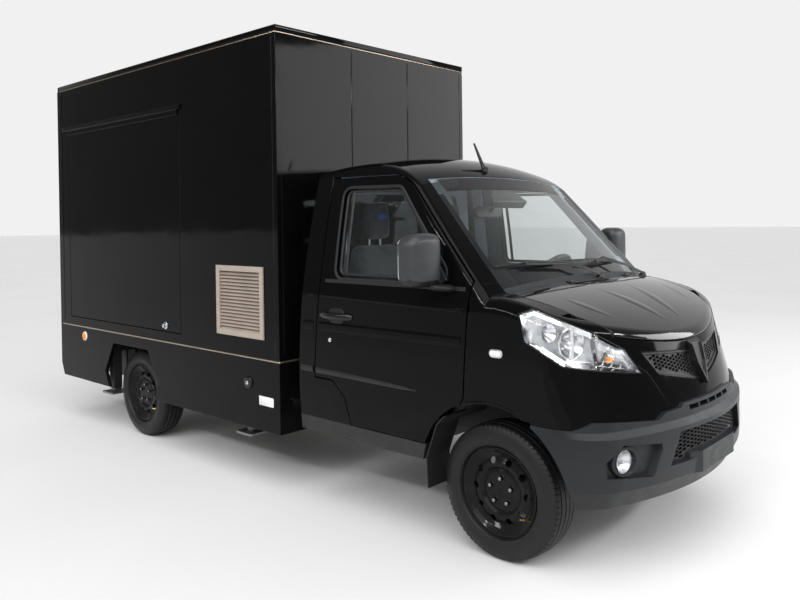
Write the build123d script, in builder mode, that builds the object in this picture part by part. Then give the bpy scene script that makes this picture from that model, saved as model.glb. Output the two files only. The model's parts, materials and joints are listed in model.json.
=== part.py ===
"""Food truck: a small cab-over pick-up chassis that carries a box kitchen with a lift-up serving hatch.

Frame: +X forward, +Y to the vehicle's left, +Z up. The origin is on the ground, in the middle of the
vehicle's length and width. Sizes are in millimetres. Lengths along the vehicle are measured from the
front axle, because the sketch planes below have their origins under that axle.
"""

import os
from math import cos, radians, sin, sqrt

from build123d import *

os.makedirs("parts", exist_ok=True)

# Driving dimensions of the whole vehicle
wheelbase = 3070
front_overhang = 690
rear_overhang = 1140
overall_length = front_overhang + wheelbase + rear_overhang
front_axle_x = overall_length / 2 - front_overhang
rear_axle_x = front_axle_x - wheelbase

# Wheels and tyres
tyre_radius = 304
tyre_width = 185
tyre_outer_y = 765
wheel_mid_y = tyre_outer_y - tyre_width / 2
rim_flange_radius = 195
rim_seat_radius = 178
rim_width = 150
stud_circle_radius = 57
spindle_radius = 30
running_gap = 0.3

# Cab body
cab_bottom_z = 383
cab_back_x = -1265
cab_half_width = 818
belt_z = 1130
belt_half_width = 806
shoulder_radius = 70
nose_lip = 1.5
pillar_radius = 50
roof_z = 1864
roof_half_width = 690
roof_crown_radius = 4000
bonnet_crown_radius = 9000
nose_bow_radius = 1700
nose_corner_radius = 250
cab_wall = 55
cab_roof_wall = 32
cab_floor_z = 590
cab_floor_thickness = 30
door_gap = 7
panel_gap = 3
glass_thickness = 6
arch_radius = 400
bulkhead_x = -20
screen_base_half_width = 662
screen_top_half_width = 602
scuttle_end_x = 55
bonnet_rear_x = 70
bonnet_thickness = 22
mesh_bar = 3.5
mesh_border = 2
grille_rim = 12
fit_gap = 0.3

# Box body
box_front_x = -1400
box_length = 2770
box_back_x = box_front_x - box_length
box_half_width = 845
box_top_z = 2611
box_base_z = 728
box_wall = 40
box_floor_thickness = 45
skirt_bottom_z = 320
skirt_thickness = 25
hatch_front_x = -2398
hatch_width = 1590
hatch_bottom_z = 795
hatch_height = 1452
hatch_gap = 6
vent_rear_x = -1990
vent_width = 458
vent_bottom_z = 842
vent_height = 416
vent_flange = 30
rear_door_width = 740
rear_door_height = 1640
rear_door_bottom_z = 775

# Chassis
rail_mid_y = 370
rail_width = 60
rail_bottom_z = 440
rail_height = 120
rail_front_x = 480
rail_back_x = box_back_x + 20

# Steady legs
leg_front_x = -1790
leg_rear_x = -3485
leg_y = 740
leg_size = 50
leg_foot_size = 150
leg_foot_z = 250
leg_top_z = 690
leg_sleeve_bottom_z = 285

# Front suspension and steering
kingpin_y = 620
kingpin_radius = 10

# Hinges: places of the axes, and the radii of their pins and sleeves
door_hinge_x = -85
door_hinge_y = 788
door_hinge_spans = ((735, 835), (900, 990))
door_pin_radius = 6
door_sleeve_radius = 11
door_nose_radii = ((660, 67), (900, 55), (belt_z, 39.5))
bonnet_hinge_x = 67
bonnet_hinge_z = 1187
bonnet_pin_radius = 3.5
bonnet_sleeve_radius = 6.5
hatch_hinge_y = -853.5
hatch_hinge_z = 2252
hatch_bead_radius = 5
hatch_socket_radius = 8
rear_hinge_y = 372
rear_hinge_x = box_back_x - 10
rear_hinge_heights = (900, 1595, 2290)
rear_pin_radius = 5
rear_sleeve_radius = 9

# Sketch planes whose origins are on the ground under the front axle
side_plane = Plane(origin=(front_axle_x, 0, 0), x_dir=(1, 0, 0), z_dir=(0, -1, 0))
cross_plane = Plane(origin=(front_axle_x, 0, 0), x_dir=(0, 1, 0), z_dir=(1, 0, 0))


def plan_plane(z):
    """Horizontal plane at height z, with its origin over the front axle."""
    return Plane(origin=(front_axle_x, 0, z), x_dir=(1, 0, 0), z_dir=(0, 0, 1))


def side_plane_at(y):
    """Side plane moved to the lateral place y."""
    return side_plane.offset(-y)


def cross_plane_at(x):
    """Cross plane moved to x from the front axle."""
    return cross_plane.offset(x)


def write(part, name):
    """Labels a finished piece and writes it to its own file."""
    part.label = name
    export_step(part, f"parts/{name}.step")


def left_of(part):
    """The piece on the other side of the vehicle."""
    return mirror(part, about=Plane.XZ)


def both_sides(part):
    """A piece and its mirror image as one group of separate solids."""
    return Compound(children=[*part.solids(), *left_of(part).solids()])


def side_section(inset, start_x, end_x):
    """Solid between the two cab sides: upright lower flanks and an inward lean above the belt line."""
    low = 790 - inset
    mid = cab_half_width - inset
    belt = belt_half_width - inset
    top = roof_half_width - inset
    with BuildPart() as section:
        with BuildSketch(cross_plane_at(start_x)):
            with BuildLine():
                right_low = ThreePointArc((-low, 300), (-mid, 700), (-belt, belt_z))
                right_high = ThreePointArc(right_low @ 1, (-top, 1780), (-top + 43, 1950))
                roof_line = Line(right_high @ 1, (top - 43, 1950))
                left_high = ThreePointArc(roof_line @ 1, (top, 1780), (belt, belt_z))
                left_low = ThreePointArc(left_high @ 1, (mid, 700), (low, 300))
                Line(left_low @ 1, right_low @ 0)
            make_face()
        extrude(amount=end_x - start_x)
    return section.part


def crown_plane(radius, top_z, half_angle):
    """Plane through the crown axis, tilted to where a crowned surface starts; its Y is the radius."""
    return Plane(
        origin=(front_axle_x, 0, top_z - radius),
        x_dir=(1, 0, 0),
        z_dir=(0, -cos(radians(half_angle)), sin(radians(half_angle))),
    )


def cab_top_solid(inset):
    """Solid under the crowned roof, its rounded front edge and the raked windscreen."""
    radius = roof_crown_radius
    half_angle = 21
    base = roof_z - radius
    axis = Axis((front_axle_x, 0, base), (1, 0, 0))
    with BuildPart() as top:
        with BuildSketch(crown_plane(radius, roof_z, half_angle)):
            with BuildLine():
                back = Line((cab_back_x + inset, 300 - base), (cab_back_x + inset, 760 - base))
                lean = Line(back @ 1, (-1212 + inset, roof_z - 30 - inset - base))
                roof = ThreePointArc(
                    lean @ 1, (-1000, roof_z - 5 - inset - base), (-800, roof_z - inset - base)
                )
                screen_top = (-486 - 0.55 * inset, 1748 - 0.8 * inset - base)
                edge = TangentArc(roof @ 1, screen_top, tangent=roof % 1)
                screen = Line(edge @ 1, (40 - 0.75 * inset, 1197 - 0.75 * inset - base))
                foot = Line(screen @ 1, ((screen @ 1).X + 5, 300 - base))
                Line(foot @ 1, back @ 0)
            make_face()
        revolve(axis=axis, revolution_arc=2 * half_angle)
    return top.part


def nose_top_solid(inset):
    """Solid under the bonnet, which curves down from the windscreen foot to the leading edge."""
    radius = bonnet_crown_radius
    half_angle = 6.5
    top_z = 1204
    base = top_z - radius
    axis = Axis((front_axle_x, 0, base), (1, 0, 0))
    with BuildPart() as top:
        with BuildSketch(crown_plane(radius, top_z, half_angle)):
            with BuildLine():
                back = Line((-600, 300 - base), (-600, 1208 - inset - base))
                flat = Line(back @ 1, (30, 1204 - inset - base))
                bonnet = ThreePointArc(flat @ 1, (330, 1122 - inset - base), (575, 972 - inset - base))
                drop = Line(bonnet @ 1, (900, 700 - base))
                foot = Line(drop @ 1, (900, 300 - base))
                Line(foot @ 1, back @ 0)
            make_face()
        revolve(axis=axis, revolution_arc=2 * half_angle)
    return top.part


def nose_outline(z, front_x, half_width, corner):
    """Plan outline of the nose at height z: straight sides, rounded corners and a bowed front."""
    corner_x = front_x - nose_bow_radius + sqrt(nose_bow_radius**2 - half_width**2)
    with BuildSketch(plan_plane(z)) as outline:
        with BuildLine():
            right = Line((-1400, -half_width), (corner_x, -half_width))
            bow = ThreePointArc(right @ 1, (front_x, 0), (corner_x, half_width))
            left = Line(bow @ 1, (-1400, half_width))
            Line(left @ 1, right @ 0)
        make_face()
        fillet(outline.vertices().group_by(Axis.X)[-1], corner)
    return outline.sketch


def nose_walls(inset):
    """Solid inside the bowed, backward leaning front face."""
    half_width = 826 - inset
    corner = nose_corner_radius - 0.6 * inset
    low = nose_outline(300, 748 - inset, half_width, corner)
    high = nose_outline(2000, 280 - inset, half_width, corner)
    with BuildPart() as walls:
        loft([low.face(), high.face()], ruled=True)
    return walls.part


def nose_flanks(start_x, end_x):
    """Solid between the two nose sides, which bow in one sweep from the sill to above the bonnet."""
    low = 790 + nose_lip
    mid = cab_half_width + nose_lip
    with BuildPart() as section:
        with BuildSketch(cross_plane_at(start_x)):
            with BuildLine():
                right = ThreePointArc((-low, 300), (-mid, 700), (-low, 1290))
                top = Line(right @ 1, (low, 1290))
                left = ThreePointArc(top @ 1, (mid, 700), (low, 300))
                Line(left @ 1, right @ 0)
            make_face()
        extrude(amount=end_x - start_x)
    return section.part


with BuildPart() as nose_form:
    add(nose_top_solid(0))
    add(nose_flanks(-112, 900), mode=Mode.INTERSECT)
    add(nose_walls(0), mode=Mode.INTERSECT)
    shoulder_edges = [
        edge
        for edge in nose_form.edges()
        if (edge @ 0.5).Z > 1040 and abs((edge @ 0.5).Y) > 700 and abs((edge @ 0).X - (edge @ 1).X) > 10
    ]
    fillet(shoulder_edges, shoulder_radius)

with BuildPart() as cabin_form:
    add(cab_top_solid(0))
    add(side_section(0, -1400, 900), mode=Mode.INTERSECT)
    add(nose_walls(0), mode=Mode.INTERSECT)
    pillar_edges = [
        edge
        for edge in cabin_form.edges()
        if (edge @ 0.5).Z > 1215 and abs((edge @ 0.5).Y) > 600 and (edge @ 0.5).X > front_axle_x - 1060
    ]
    fillet(pillar_edges, pillar_radius)

with BuildPart() as cab_skin:
    add(cabin_form.part)
    add(nose_form.part)
    with BuildSketch(plan_plane(0)):
        with Locations((-300, 0)):
            Rectangle(2200, 2000)
    extrude(amount=cab_bottom_z, mode=Mode.SUBTRACT)

# Space inside the cab, and the space under the bonnet
with BuildPart() as cab_space:
    add(cab_top_solid(cab_roof_wall))
    add(side_section(cab_wall, cab_back_x + 45, bulkhead_x), mode=Mode.INTERSECT)
    with BuildSketch(plan_plane(0)):
        with Locations((-600, 0)):
            Rectangle(1800, 2000)
    extrude(amount=cab_floor_z, mode=Mode.SUBTRACT)

with BuildPart() as nose_space:
    add(nose_top_solid(bonnet_thickness))
    add(nose_walls(70), mode=Mode.INTERSECT)
    with BuildSketch(plan_plane(560)):
        with Locations((300, 0)):
            Rectangle(560, 1080)
    extrude(amount=800, mode=Mode.INTERSECT)

with BuildPart() as wheel_wells:
    for side in (-1, 1):
        with BuildSketch(side_plane_at(side * 415)):
            with Locations((0, tyre_radius)):
                Circle(arch_radius)
            with Locations((0, 100)):
                Rectangle(2 * arch_radius, 2 * tyre_radius - 200)
        extrude(amount=-side * 500)

with BuildPart() as cab_shell:
    add(cab_skin.part)
    add(cab_space.part, mode=Mode.SUBTRACT)
    add(nose_space.part, mode=Mode.SUBTRACT)
    add(wheel_wells.part, mode=Mode.SUBTRACT)


def door_outline(grow):
    """Side outline of a cab door, grown by the shut gap for the opening it closes."""
    with BuildSketch(side_plane) as outline:
        with BuildLine():
            arch = ThreePointArc((-375, 466), (-283, 600), (-141, 690))
            front = Line(arch @ 1, (-118, 1130))
            corner = Line(front @ 1, (-100, 1235))
            pillar = Line(corner @ 1, (-497, 1668))
            bend = ThreePointArc(pillar @ 1, (-553, 1711), (-640, 1737))
            top = Line(bend @ 1, (-1085, 1742))
            back = Line(top @ 1, (-1100, 1200))
            low = Line(back @ 1, (-1132, 684))
            step = Line(low @ 1, (-998, 684))
            slope = Line(step @ 1, (-905, 600))
            foot = Line(slope @ 1, (-868, 466))
            Line(foot @ 1, arch @ 0)
        make_face()
        fillet(outline.vertices().sort_by_distance((front_axle_x - 1085, 0, 1742))[0], 60)
        if grow:
            offset(amount=grow, kind=Kind.INTERSECTION)
    return outline.sketch


def door_window_outline(grow):
    """Side outline of the door window, grown for the glass that sits in its channel."""
    with BuildSketch(side_plane) as outline:
        with BuildLine():
            sill = Line((-985, 1222), (-205, 1222))
            pillar = Line(sill @ 1, (-592, 1676))
            top = Line(pillar @ 1, (-988, 1682))
            Line(top @ 1, sill @ 0)
        make_face()
        fillet(outline.vertices(), 45)
        if grow:
            offset(amount=grow)
    return outline.sketch


def screen_band(grow):
    """Cross outline of the middle of the cab, between the inner edges of the windscreen pillars."""
    base = screen_base_half_width + grow
    top = screen_top_half_width + grow
    with BuildSketch(cross_plane) as outline:
        with BuildLine():
            Polyline(
                (-base, 300), (-base, 1230), (-top, 1740), (-top + 12, 1950),
                (top - 12, 1950), (top, 1740), (base, 1230), (base, 300), close=True,
            )
        make_face()
    return outline.sketch


# Space that the fender's rear edge sweeps round the hinge as the door opens
door_hinge_axis = Axis((front_axle_x + door_hinge_x, -door_hinge_y, 0), (0, 0, 1))
with BuildPart() as door_nose_path:
    with BuildSketch(side_plane_at(-door_hinge_y)):
        with BuildLine():
            rim = Polyline(*[(door_hinge_x - radius, z) for z, radius in door_nose_radii])
            Polyline(rim @ 1, (door_hinge_x, belt_z), (door_hinge_x, door_nose_radii[0][0]), rim @ 0)
        make_face()
    revolve(axis=door_hinge_axis)

# Cab panels, cut from the shell along the real panel joints
with BuildPart() as door_right:
    add(cab_skin.part)
    add(side_section(cab_wall, -1400, 900), mode=Mode.SUBTRACT)
    extrude(door_outline(0), amount=1000, mode=Mode.INTERSECT)
    extrude(door_window_outline(0), amount=1000, mode=Mode.SUBTRACT)
    add(door_nose_path.part, mode=Mode.SUBTRACT)
    for low_z, high_z in door_hinge_spans:
        with BuildSketch(plan_plane(low_z + 10)):
            with BuildLine():
                Polyline(
                    (door_hinge_x, -door_hinge_y), (door_hinge_x - 40, 38 - door_hinge_y),
                    (door_hinge_x - 72, 22 - door_hinge_y),
                )
            trace(line_width=6)
            with Locations((door_hinge_x, -door_hinge_y)):
                Circle(door_sleeve_radius)
                Circle(door_pin_radius + running_gap, mode=Mode.SUBTRACT)
        extrude(amount=high_z - low_z - 20)
write(door_right.part, "door_right")
write(left_of(door_right.part), "door_left")

with BuildPart() as door_glass_right:
    add(side_section(22, -1100, 0))
    add(side_section(22 + glass_thickness, -1150, 50), mode=Mode.SUBTRACT)
    extrude(door_window_outline(-0.3), amount=1000, mode=Mode.INTERSECT)
write(door_glass_right.part, "door_glass_right")
write(left_of(door_glass_right.part), "door_glass_left")


def slab(x_start, x_end, half_width, z_start, z_end):
    """Plain block across the vehicle, placed from the front axle."""
    with BuildPart() as block:
        with BuildSketch(plan_plane(z_start)):
            with Locations(((x_start + x_end) / 2, 0)):
                Rectangle(abs(x_end - x_start), 2 * half_width)
        extrude(amount=z_end - z_start)
    return block.part


def side_prism(points, half_width):
    """Prism across the vehicle with a side outline."""
    with BuildPart() as prism:
        with BuildSketch(side_plane):
            with BuildLine():
                Polyline(*points, close=True)
            make_face()
        extrude(amount=half_width, both=True)
    return prism.part


with BuildPart() as middle_zone:
    extrude(screen_band(0), amount=1400, both=True)

with BuildPart() as door_zone:
    extrude(door_outline(door_gap), amount=1000, both=True)
    add(side_section(cab_wall + door_gap, -1400, 900), mode=Mode.SUBTRACT)

with BuildPart() as bonnet_zone:
    with BuildSketch(plan_plane(800)):
        with BuildLine():
            Polyline(
                (bonnet_rear_x, -683), (330, -640), (482, -530), (800, -430),
                (800, 430), (482, 530), (330, 640), (bonnet_rear_x, 683), close=True,
            )
        make_face()
    extrude(amount=600)

with BuildPart() as bonnet_recess:
    with BuildSketch(plan_plane(800)):
        with BuildLine():
            Polyline(
                (scuttle_end_x, -697), (332, -646), (486, -535), (800, -435),
                (800, 435), (486, 535), (332, 646), (scuttle_end_x, 697), close=True,
            )
        make_face()
    extrude(amount=600)
    add(nose_top_solid(bonnet_thickness + 6), mode=Mode.SUBTRACT)

screen_zone = side_prism([(-624, 1604), (-336, 1880), (164, 1376), (-124, 1100)], 900)
roof_zone = side_prism(
    [(-1300, 1765), (-1000, 1765), (-1000, 1604), (-624, 1604), (-336, 1880), (-336, 2000), (-1300, 2000)], 900
)

with BuildPart() as windscreen:
    add(cab_top_solid(3))
    add(cab_top_solid(3 + glass_thickness), mode=Mode.SUBTRACT)
    extrude(screen_band(-0.3), amount=1000, both=True, mode=Mode.INTERSECT)
    add(screen_zone, mode=Mode.INTERSECT)
    add(nose_top_solid(-2), mode=Mode.SUBTRACT)
write(windscreen.part, "windscreen")

with BuildPart() as cab_roof:
    add(cab_shell.part)
    add(middle_zone.part, mode=Mode.INTERSECT)
    add(roof_zone, mode=Mode.INTERSECT)
write(cab_roof.part, "cab_roof")

with BuildPart() as cab_back_wall:
    add(cab_shell.part)
    add(middle_zone.part, mode=Mode.INTERSECT)
    add(slab(-1300, -1150, 900, cab_floor_z, 1765), mode=Mode.INTERSECT)
    with BuildSketch(cross_plane_at(-1300)):
        with Locations((0, 1470)):
            RectangleRounded(1000, 400, 60)
    extrude(amount=300, mode=Mode.SUBTRACT)
write(cab_back_wall.part, "cab_back_wall")

with BuildPart() as back_window:
    add(cab_top_solid(14))
    add(cab_top_solid(14 + glass_thickness), mode=Mode.SUBTRACT)
    with BuildSketch(cross_plane_at(-1300)):
        with Locations((0, 1470)):
            RectangleRounded(999.4, 399.4, 59.7)
    extrude(amount=200, mode=Mode.INTERSECT)
write(back_window.part, "back_window")

with BuildPart() as body_side_right:
    add(cab_shell.part)
    add(middle_zone.part, mode=Mode.SUBTRACT)
    add(door_zone.part, mode=Mode.SUBTRACT)
    with BuildSketch(side_plane):
        with BuildLine():
            Polyline((-1400, 460), (-855, 460), (-855, 1225), (200, 1225), (200, 1950), (-1400, 1950), close=True)
        make_face()
    extrude(amount=1000, mode=Mode.INTERSECT)
    add(slab(-1219.3, 0, 735.3, 400, cab_floor_z + 0.3), mode=Mode.SUBTRACT)
write(both_sides(body_side_right.part), "body_sides")

with BuildPart() as wheel_covers:
    for side in (-1, 1):
        with BuildSketch(side_plane_at(side * 395)):
            with Locations((0, tyre_radius)):
                Circle(arch_radius + 22)
        extrude(amount=-side * 330)
    add(slab(-500, bulkhead_x, 900, cab_floor_z - cab_floor_thickness, 900), mode=Mode.INTERSECT)

with BuildPart() as cab_floor:
    add(cab_shell.part)
    add(slab(-1300, bulkhead_x, 900, 300, 460), mode=Mode.INTERSECT)
    add(slab(-1300, 20, 640, 300, cab_floor_z - cab_floor_thickness), mode=Mode.SUBTRACT)
    add(slab(-1219, bulkhead_x, 735, cab_floor_z - cab_floor_thickness, cab_floor_z))
    add(slab(-1262, -1200, 661.7, cab_floor_z - cab_floor_thickness, cab_floor_z))
    for side in (-1, 1):
        with BuildSketch(plan_plane(440)):
            with Locations((-790, side * 688)):
                Rectangle(850, 94)
        extrude(amount=cab_floor_z - 440)
    add(wheel_covers.part)
    with BuildSketch(plan_plane(cab_floor_z)):
        with Locations((-880, 0)):
            Rectangle(600, 1200)
    extrude(amount=170)
    with BuildSketch(plan_plane(cab_floor_z - 40)):
        with Locations((-880, 0)):
            Rectangle(550, 1150)
    extrude(amount=185, mode=Mode.SUBTRACT)
    add(wheel_wells.part, mode=Mode.SUBTRACT)
write(cab_floor.part, "cab_floor")

with BuildPart() as bulkhead:
    add(cab_shell.part)
    add(middle_zone.part, mode=Mode.INTERSECT)
    add(slab(bulkhead_x, scuttle_end_x, 900, 560, 1140), mode=Mode.INTERSECT)
    add(bonnet_recess.part, mode=Mode.SUBTRACT)
write(bulkhead.part, "bulkhead")

with BuildPart() as scuttle_panel:
    add(cab_shell.part)
    add(middle_zone.part, mode=Mode.INTERSECT)
    add(slab(-140, scuttle_end_x, 900, 1140, 1300), mode=Mode.INTERSECT)
    add(screen_zone, mode=Mode.SUBTRACT)
    add(bonnet_recess.part, mode=Mode.SUBTRACT)
    for side in (-1, 1):
        with BuildSketch(side_plane_at(side * 300 + 40)):
            with Locations((bonnet_hinge_x, bonnet_hinge_z)):
                Circle(bonnet_pin_radius)
        extrude(amount=80)
        for y in (side * 300 + 40, side * 300 - 30):
            with BuildSketch(side_plane_at(y)):
                with BuildLine():
                    Polyline(
                        (scuttle_end_x - 2, bonnet_hinge_z - 12), (bonnet_hinge_x, bonnet_hinge_z - 4),
                        (bonnet_hinge_x, bonnet_hinge_z + 3), (scuttle_end_x - 2, bonnet_hinge_z + 3), close=True,
                    )
                make_face()
            extrude(amount=10)
write(scuttle_panel.part, "scuttle_panel")

with BuildPart() as bonnet:
    add(cab_skin.part)
    add(bonnet_zone.part, mode=Mode.INTERSECT)
    add(nose_top_solid(bonnet_thickness), mode=Mode.SUBTRACT)
    for side in (-1, 1):
        with BuildSketch(side_plane_at(side * 300 + 28)):
            with Locations((bonnet_hinge_x, bonnet_hinge_z)):
                Circle(bonnet_sleeve_radius)
            with Locations((bonnet_hinge_x + 4, bonnet_hinge_z - 3)):
                Rectangle(8, 7)
        extrude(amount=56)
        with BuildSketch(side_plane_at(side * 300 + 45)):
            with Locations((bonnet_hinge_x, bonnet_hinge_z)):
                Circle(bonnet_pin_radius + running_gap)
        extrude(amount=90, mode=Mode.SUBTRACT)
write(bonnet.part, "bonnet")


def lamp_zone(grow):
    """Prism that cuts a headlamp out of the right nose corner, seen along the corner's diagonal."""
    diagonal = Plane(
        origin=(front_axle_x, 0, 0), x_dir=(sqrt(0.5), sqrt(0.5), 0), z_dir=(sqrt(0.5), -sqrt(0.5), 0)
    ).offset(600)
    with BuildPart() as zone:
        with BuildSketch(diagonal):
            with BuildLine():
                Polyline(
                    (-462, 1112), (-447, 996), (-311, 905), (55, 853), (-21, 960), (-163, 1035), (-400, 1135),
                    close=True,
                )
            make_face()
            if grow:
                offset(amount=grow, kind=Kind.INTERSECTION)
        extrude(amount=400)
    return zone.part


with BuildPart() as headlamp_right:
    add(cab_skin.part)
    add(lamp_zone(0), mode=Mode.INTERSECT)
    add(bonnet_recess.part, mode=Mode.SUBTRACT)
write(both_sides(headlamp_right.part), "headlamps")


def cross_outline(points, grow):
    """Cross outline through points, grown by a gap."""
    with BuildSketch(cross_plane) as outline:
        with BuildLine():
            Polyline(*points, close=True)
        make_face()
        if grow:
            offset(amount=grow, kind=Kind.INTERSECTION)
    return outline.sketch


# Half outlines on the vehicle's right: the bumper's upper edge, and the fender's share of the nose corner
bumper_edge = [(-840, 652), (-800, 656), (-745, 690), (-450, 664), (-395, 688), (-280, 692), (-262, 706)]
corner_points = [(-900, 600), (-268, 600), (-390, 806), (-415, 850), (-900, 1200)]


def bumper_zone(grow):
    """Prism that holds the front bumper under its stepped upper edge."""
    points = [(-840, 300), *bumper_edge, *[(-y, z) for y, z in reversed(bumper_edge)], (840, 300)]
    with BuildPart() as zone:
        extrude(cross_outline(points, grow), amount=900)
        add(slab(215 - grow, 900, 1000, 300, 760), mode=Mode.INTERSECT)
    return zone.part


def corner_zone(grow):
    """Prism that parts the right fender from the front panel."""
    with BuildPart() as zone:
        extrude(cross_outline(corner_points, grow), amount=900)
    return zone.part


with BuildPart() as fender_corner:
    add(cab_skin.part)
    add(nose_walls(45), mode=Mode.SUBTRACT)
    add(slab(300, 900, 1000, 640, 1200), mode=Mode.INTERSECT)
    add(corner_zone(0), mode=Mode.INTERSECT)

with BuildPart() as fender_right:
    add(cab_shell.part)
    add(door_zone.part, mode=Mode.SUBTRACT)
    with BuildSketch(plan_plane(640)):
        with BuildLine():
            Polyline(
                (-190, -900), (-190, -662.3), (scuttle_end_x + 0.3, -662.3), (scuttle_end_x + 0.3, -540),
                (300, -540), (300, -900), close=True,
            )
        make_face()
    extrude(amount=585, mode=Mode.INTERSECT)
    add(fender_corner.part)
    add(bonnet_recess.part, mode=Mode.SUBTRACT)
    add(lamp_zone(0.3), mode=Mode.SUBTRACT)
    add(bumper_zone(0.5), mode=Mode.SUBTRACT)
    add(slab(-400, 214.5, 1000, 600, 664), mode=Mode.SUBTRACT)
    add(slab(-400, -104, 1000, 1100, 1400), mode=Mode.SUBTRACT)
    for low_z, high_z in door_hinge_spans:
        with BuildSketch(plan_plane(low_z)):
            with Locations((-109, -776.5)):
                Rectangle(82, 73)
        extrude(amount=high_z - low_z, mode=Mode.SUBTRACT)
        with BuildSketch(plan_plane(low_z - 5)):
            with Locations((door_hinge_x, -door_hinge_y)):
                Circle(door_pin_radius)
        extrude(amount=high_z - low_z + 10)
write(both_sides(fender_right.part), "fenders")

# Upper grille: a swept-back opening either side of a blank shield, filled with a mesh of flat hexagons
grille_points = [(-425, 938), (-350, 838), (0, 766), (350, 838), (425, 938), (0, 905)]
shield_points = [(-60, 952), (-52, 968), (0, 975), (52, 968), (60, 952), (48, 850), (0, 753), (-48, 850)]


def grille_zone(grow):
    """Prism through the upper grille's opening."""
    with BuildPart() as zone:
        extrude(cross_outline(grille_points, grow), amount=900)
    return zone.part


def shield_zone(grow):
    """Prism through the shield in the middle of the grille."""
    with BuildPart() as zone:
        extrude(cross_outline(shield_points, grow), amount=900)
    return zone.part


def mesh_face(outline, hole_width, hole_height):
    """Face of a grille mesh: staggered flat hexagonal holes wherever a whole one fits in the outline."""
    room = offset(outline, amount=-mesh_border, kind=Kind.INTERSECTION, mode=Mode.PRIVATE).face()
    column = 0.75 * hole_width + mesh_bar
    row = hole_height + mesh_bar
    hexagon = [
        (-hole_width / 2, 0), (-hole_width / 4, hole_height / 2), (hole_width / 4, hole_height / 2),
        (hole_width / 2, 0), (hole_width / 4, -hole_height / 2), (-hole_width / 4, -hole_height / 2),
    ]
    box = outline.bounding_box()
    first_column = int(box.min.Y / column) - 1
    last_column = int(box.max.Y / column) + 1
    last_row = int((box.max.Z - box.min.Z) / row) + 1
    holes = []
    for across in range(first_column, last_column + 1):
        for up in range(last_row + 1):
            middle_y = across * column
            middle_z = box.min.Z + (up + 0.5 * (across % 2)) * row
            corners = [cross_plane.from_local_coords((middle_y + y, middle_z + z, 0)) for y, z in hexagon]
            if all(room.is_inside(corner) for corner in corners):
                holes.append(Wire.make_polygon(corners))
    return Face(outline.outer_wire(), holes)


with BuildPart() as front_panel:
    add(cab_skin.part)
    add(nose_walls(45), mode=Mode.SUBTRACT)
    add(slab(300.3, 900, 1000, 640, 1200), mode=Mode.INTERSECT)
    add(bonnet_recess.part, mode=Mode.SUBTRACT)
    for zone in (lamp_zone(0.3), corner_zone(panel_gap)):
        add(zone, mode=Mode.SUBTRACT)
        add(left_of(zone), mode=Mode.SUBTRACT)
    add(bumper_zone(0.5), mode=Mode.SUBTRACT)
    add(grille_zone(0), mode=Mode.SUBTRACT)
    add(shield_zone(0.3), mode=Mode.SUBTRACT)
write(front_panel.part, "front_panel")

mesh_outlines = cross_outline(grille_points, -grille_rim - fit_gap) - cross_outline(shield_points, fit_gap)
upper_mesh_faces = [mesh_face(outline, 27, 12.5) for outline in mesh_outlines.faces()]

with BuildPart() as upper_mesh:
    extrude(upper_mesh_faces, amount=900)
    add(nose_walls(16), mode=Mode.INTERSECT)
    add(nose_walls(28), mode=Mode.SUBTRACT)

with BuildPart() as shield_recess:
    extrude(cross_outline(shield_points, -12), amount=900)
    add(nose_walls(-12), mode=Mode.SUBTRACT)

with BuildPart() as grille_frame:
    add(nose_walls(8))
    add(nose_walls(34), mode=Mode.SUBTRACT)
    add(grille_zone(-fit_gap), mode=Mode.INTERSECT)
    add(grille_zone(-grille_rim), mode=Mode.SUBTRACT)

with BuildPart() as grille_shield:
    add(nose_walls(-22))
    add(nose_walls(34), mode=Mode.SUBTRACT)
    add(shield_zone(0), mode=Mode.INTERSECT)
    add(shield_recess.part, mode=Mode.SUBTRACT)
    add(grille_frame.part)
    add(bonnet_recess.part, mode=Mode.SUBTRACT)


def bumper_solid(inset):
    """Solid inside the front bumper, which tucks in below and steps back above its ledge."""
    sections = (
        # height, x of the front, half width, corner radius
        (334, 640, 790, 215),
        (410, 686, 818, 240),
        (470, 690, 822, 240),
        (625, 690, 822, 240),
        (650, 668, 822, 240),
        (720, 652, 822, 240),
    )
    outlines = [nose_outline(z, x - inset, w - inset, r - 0.5 * inset).face() for z, x, w, r in sections]
    with BuildPart() as solid:
        loft(outlines, ruled=True)
    return solid.part


lower_grille_points = [(-412, 470), (-340, 604), (340, 604), (412, 470)]
fog_recess_points = [(-738, 533), (-664, 598), (-464, 576), (-460, 551), (-510, 446), (-732, 470)]
fog_lamp_place = (-640, 524)
fog_lamp_radius = 50
fog_bezel = 12
bumper_thickness = 60

with BuildPart() as fog_recess:
    extrude(cross_outline(fog_recess_points, 0), amount=900)
    add(bumper_solid(32), mode=Mode.SUBTRACT)

with BuildPart() as fog_bezel_right:
    add(bumper_solid(14))
    add(bumper_solid(bumper_thickness), mode=Mode.SUBTRACT)
    with BuildSketch(cross_plane_at(300)):
        with Locations(fog_lamp_place):
            Circle(fog_lamp_radius + fog_bezel)
    extrude(amount=600, mode=Mode.INTERSECT)

with BuildPart() as plate_pad:
    with BuildSketch(plan_plane(404)):
        with BuildLine():
            Polyline((630, -262), (660, -255), (689.5, -190), (689.5, 190), (660, 255), (630, 262), close=True)
        make_face()
    extrude(amount=92)
    add(bumper_solid(48), mode=Mode.SUBTRACT)

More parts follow.
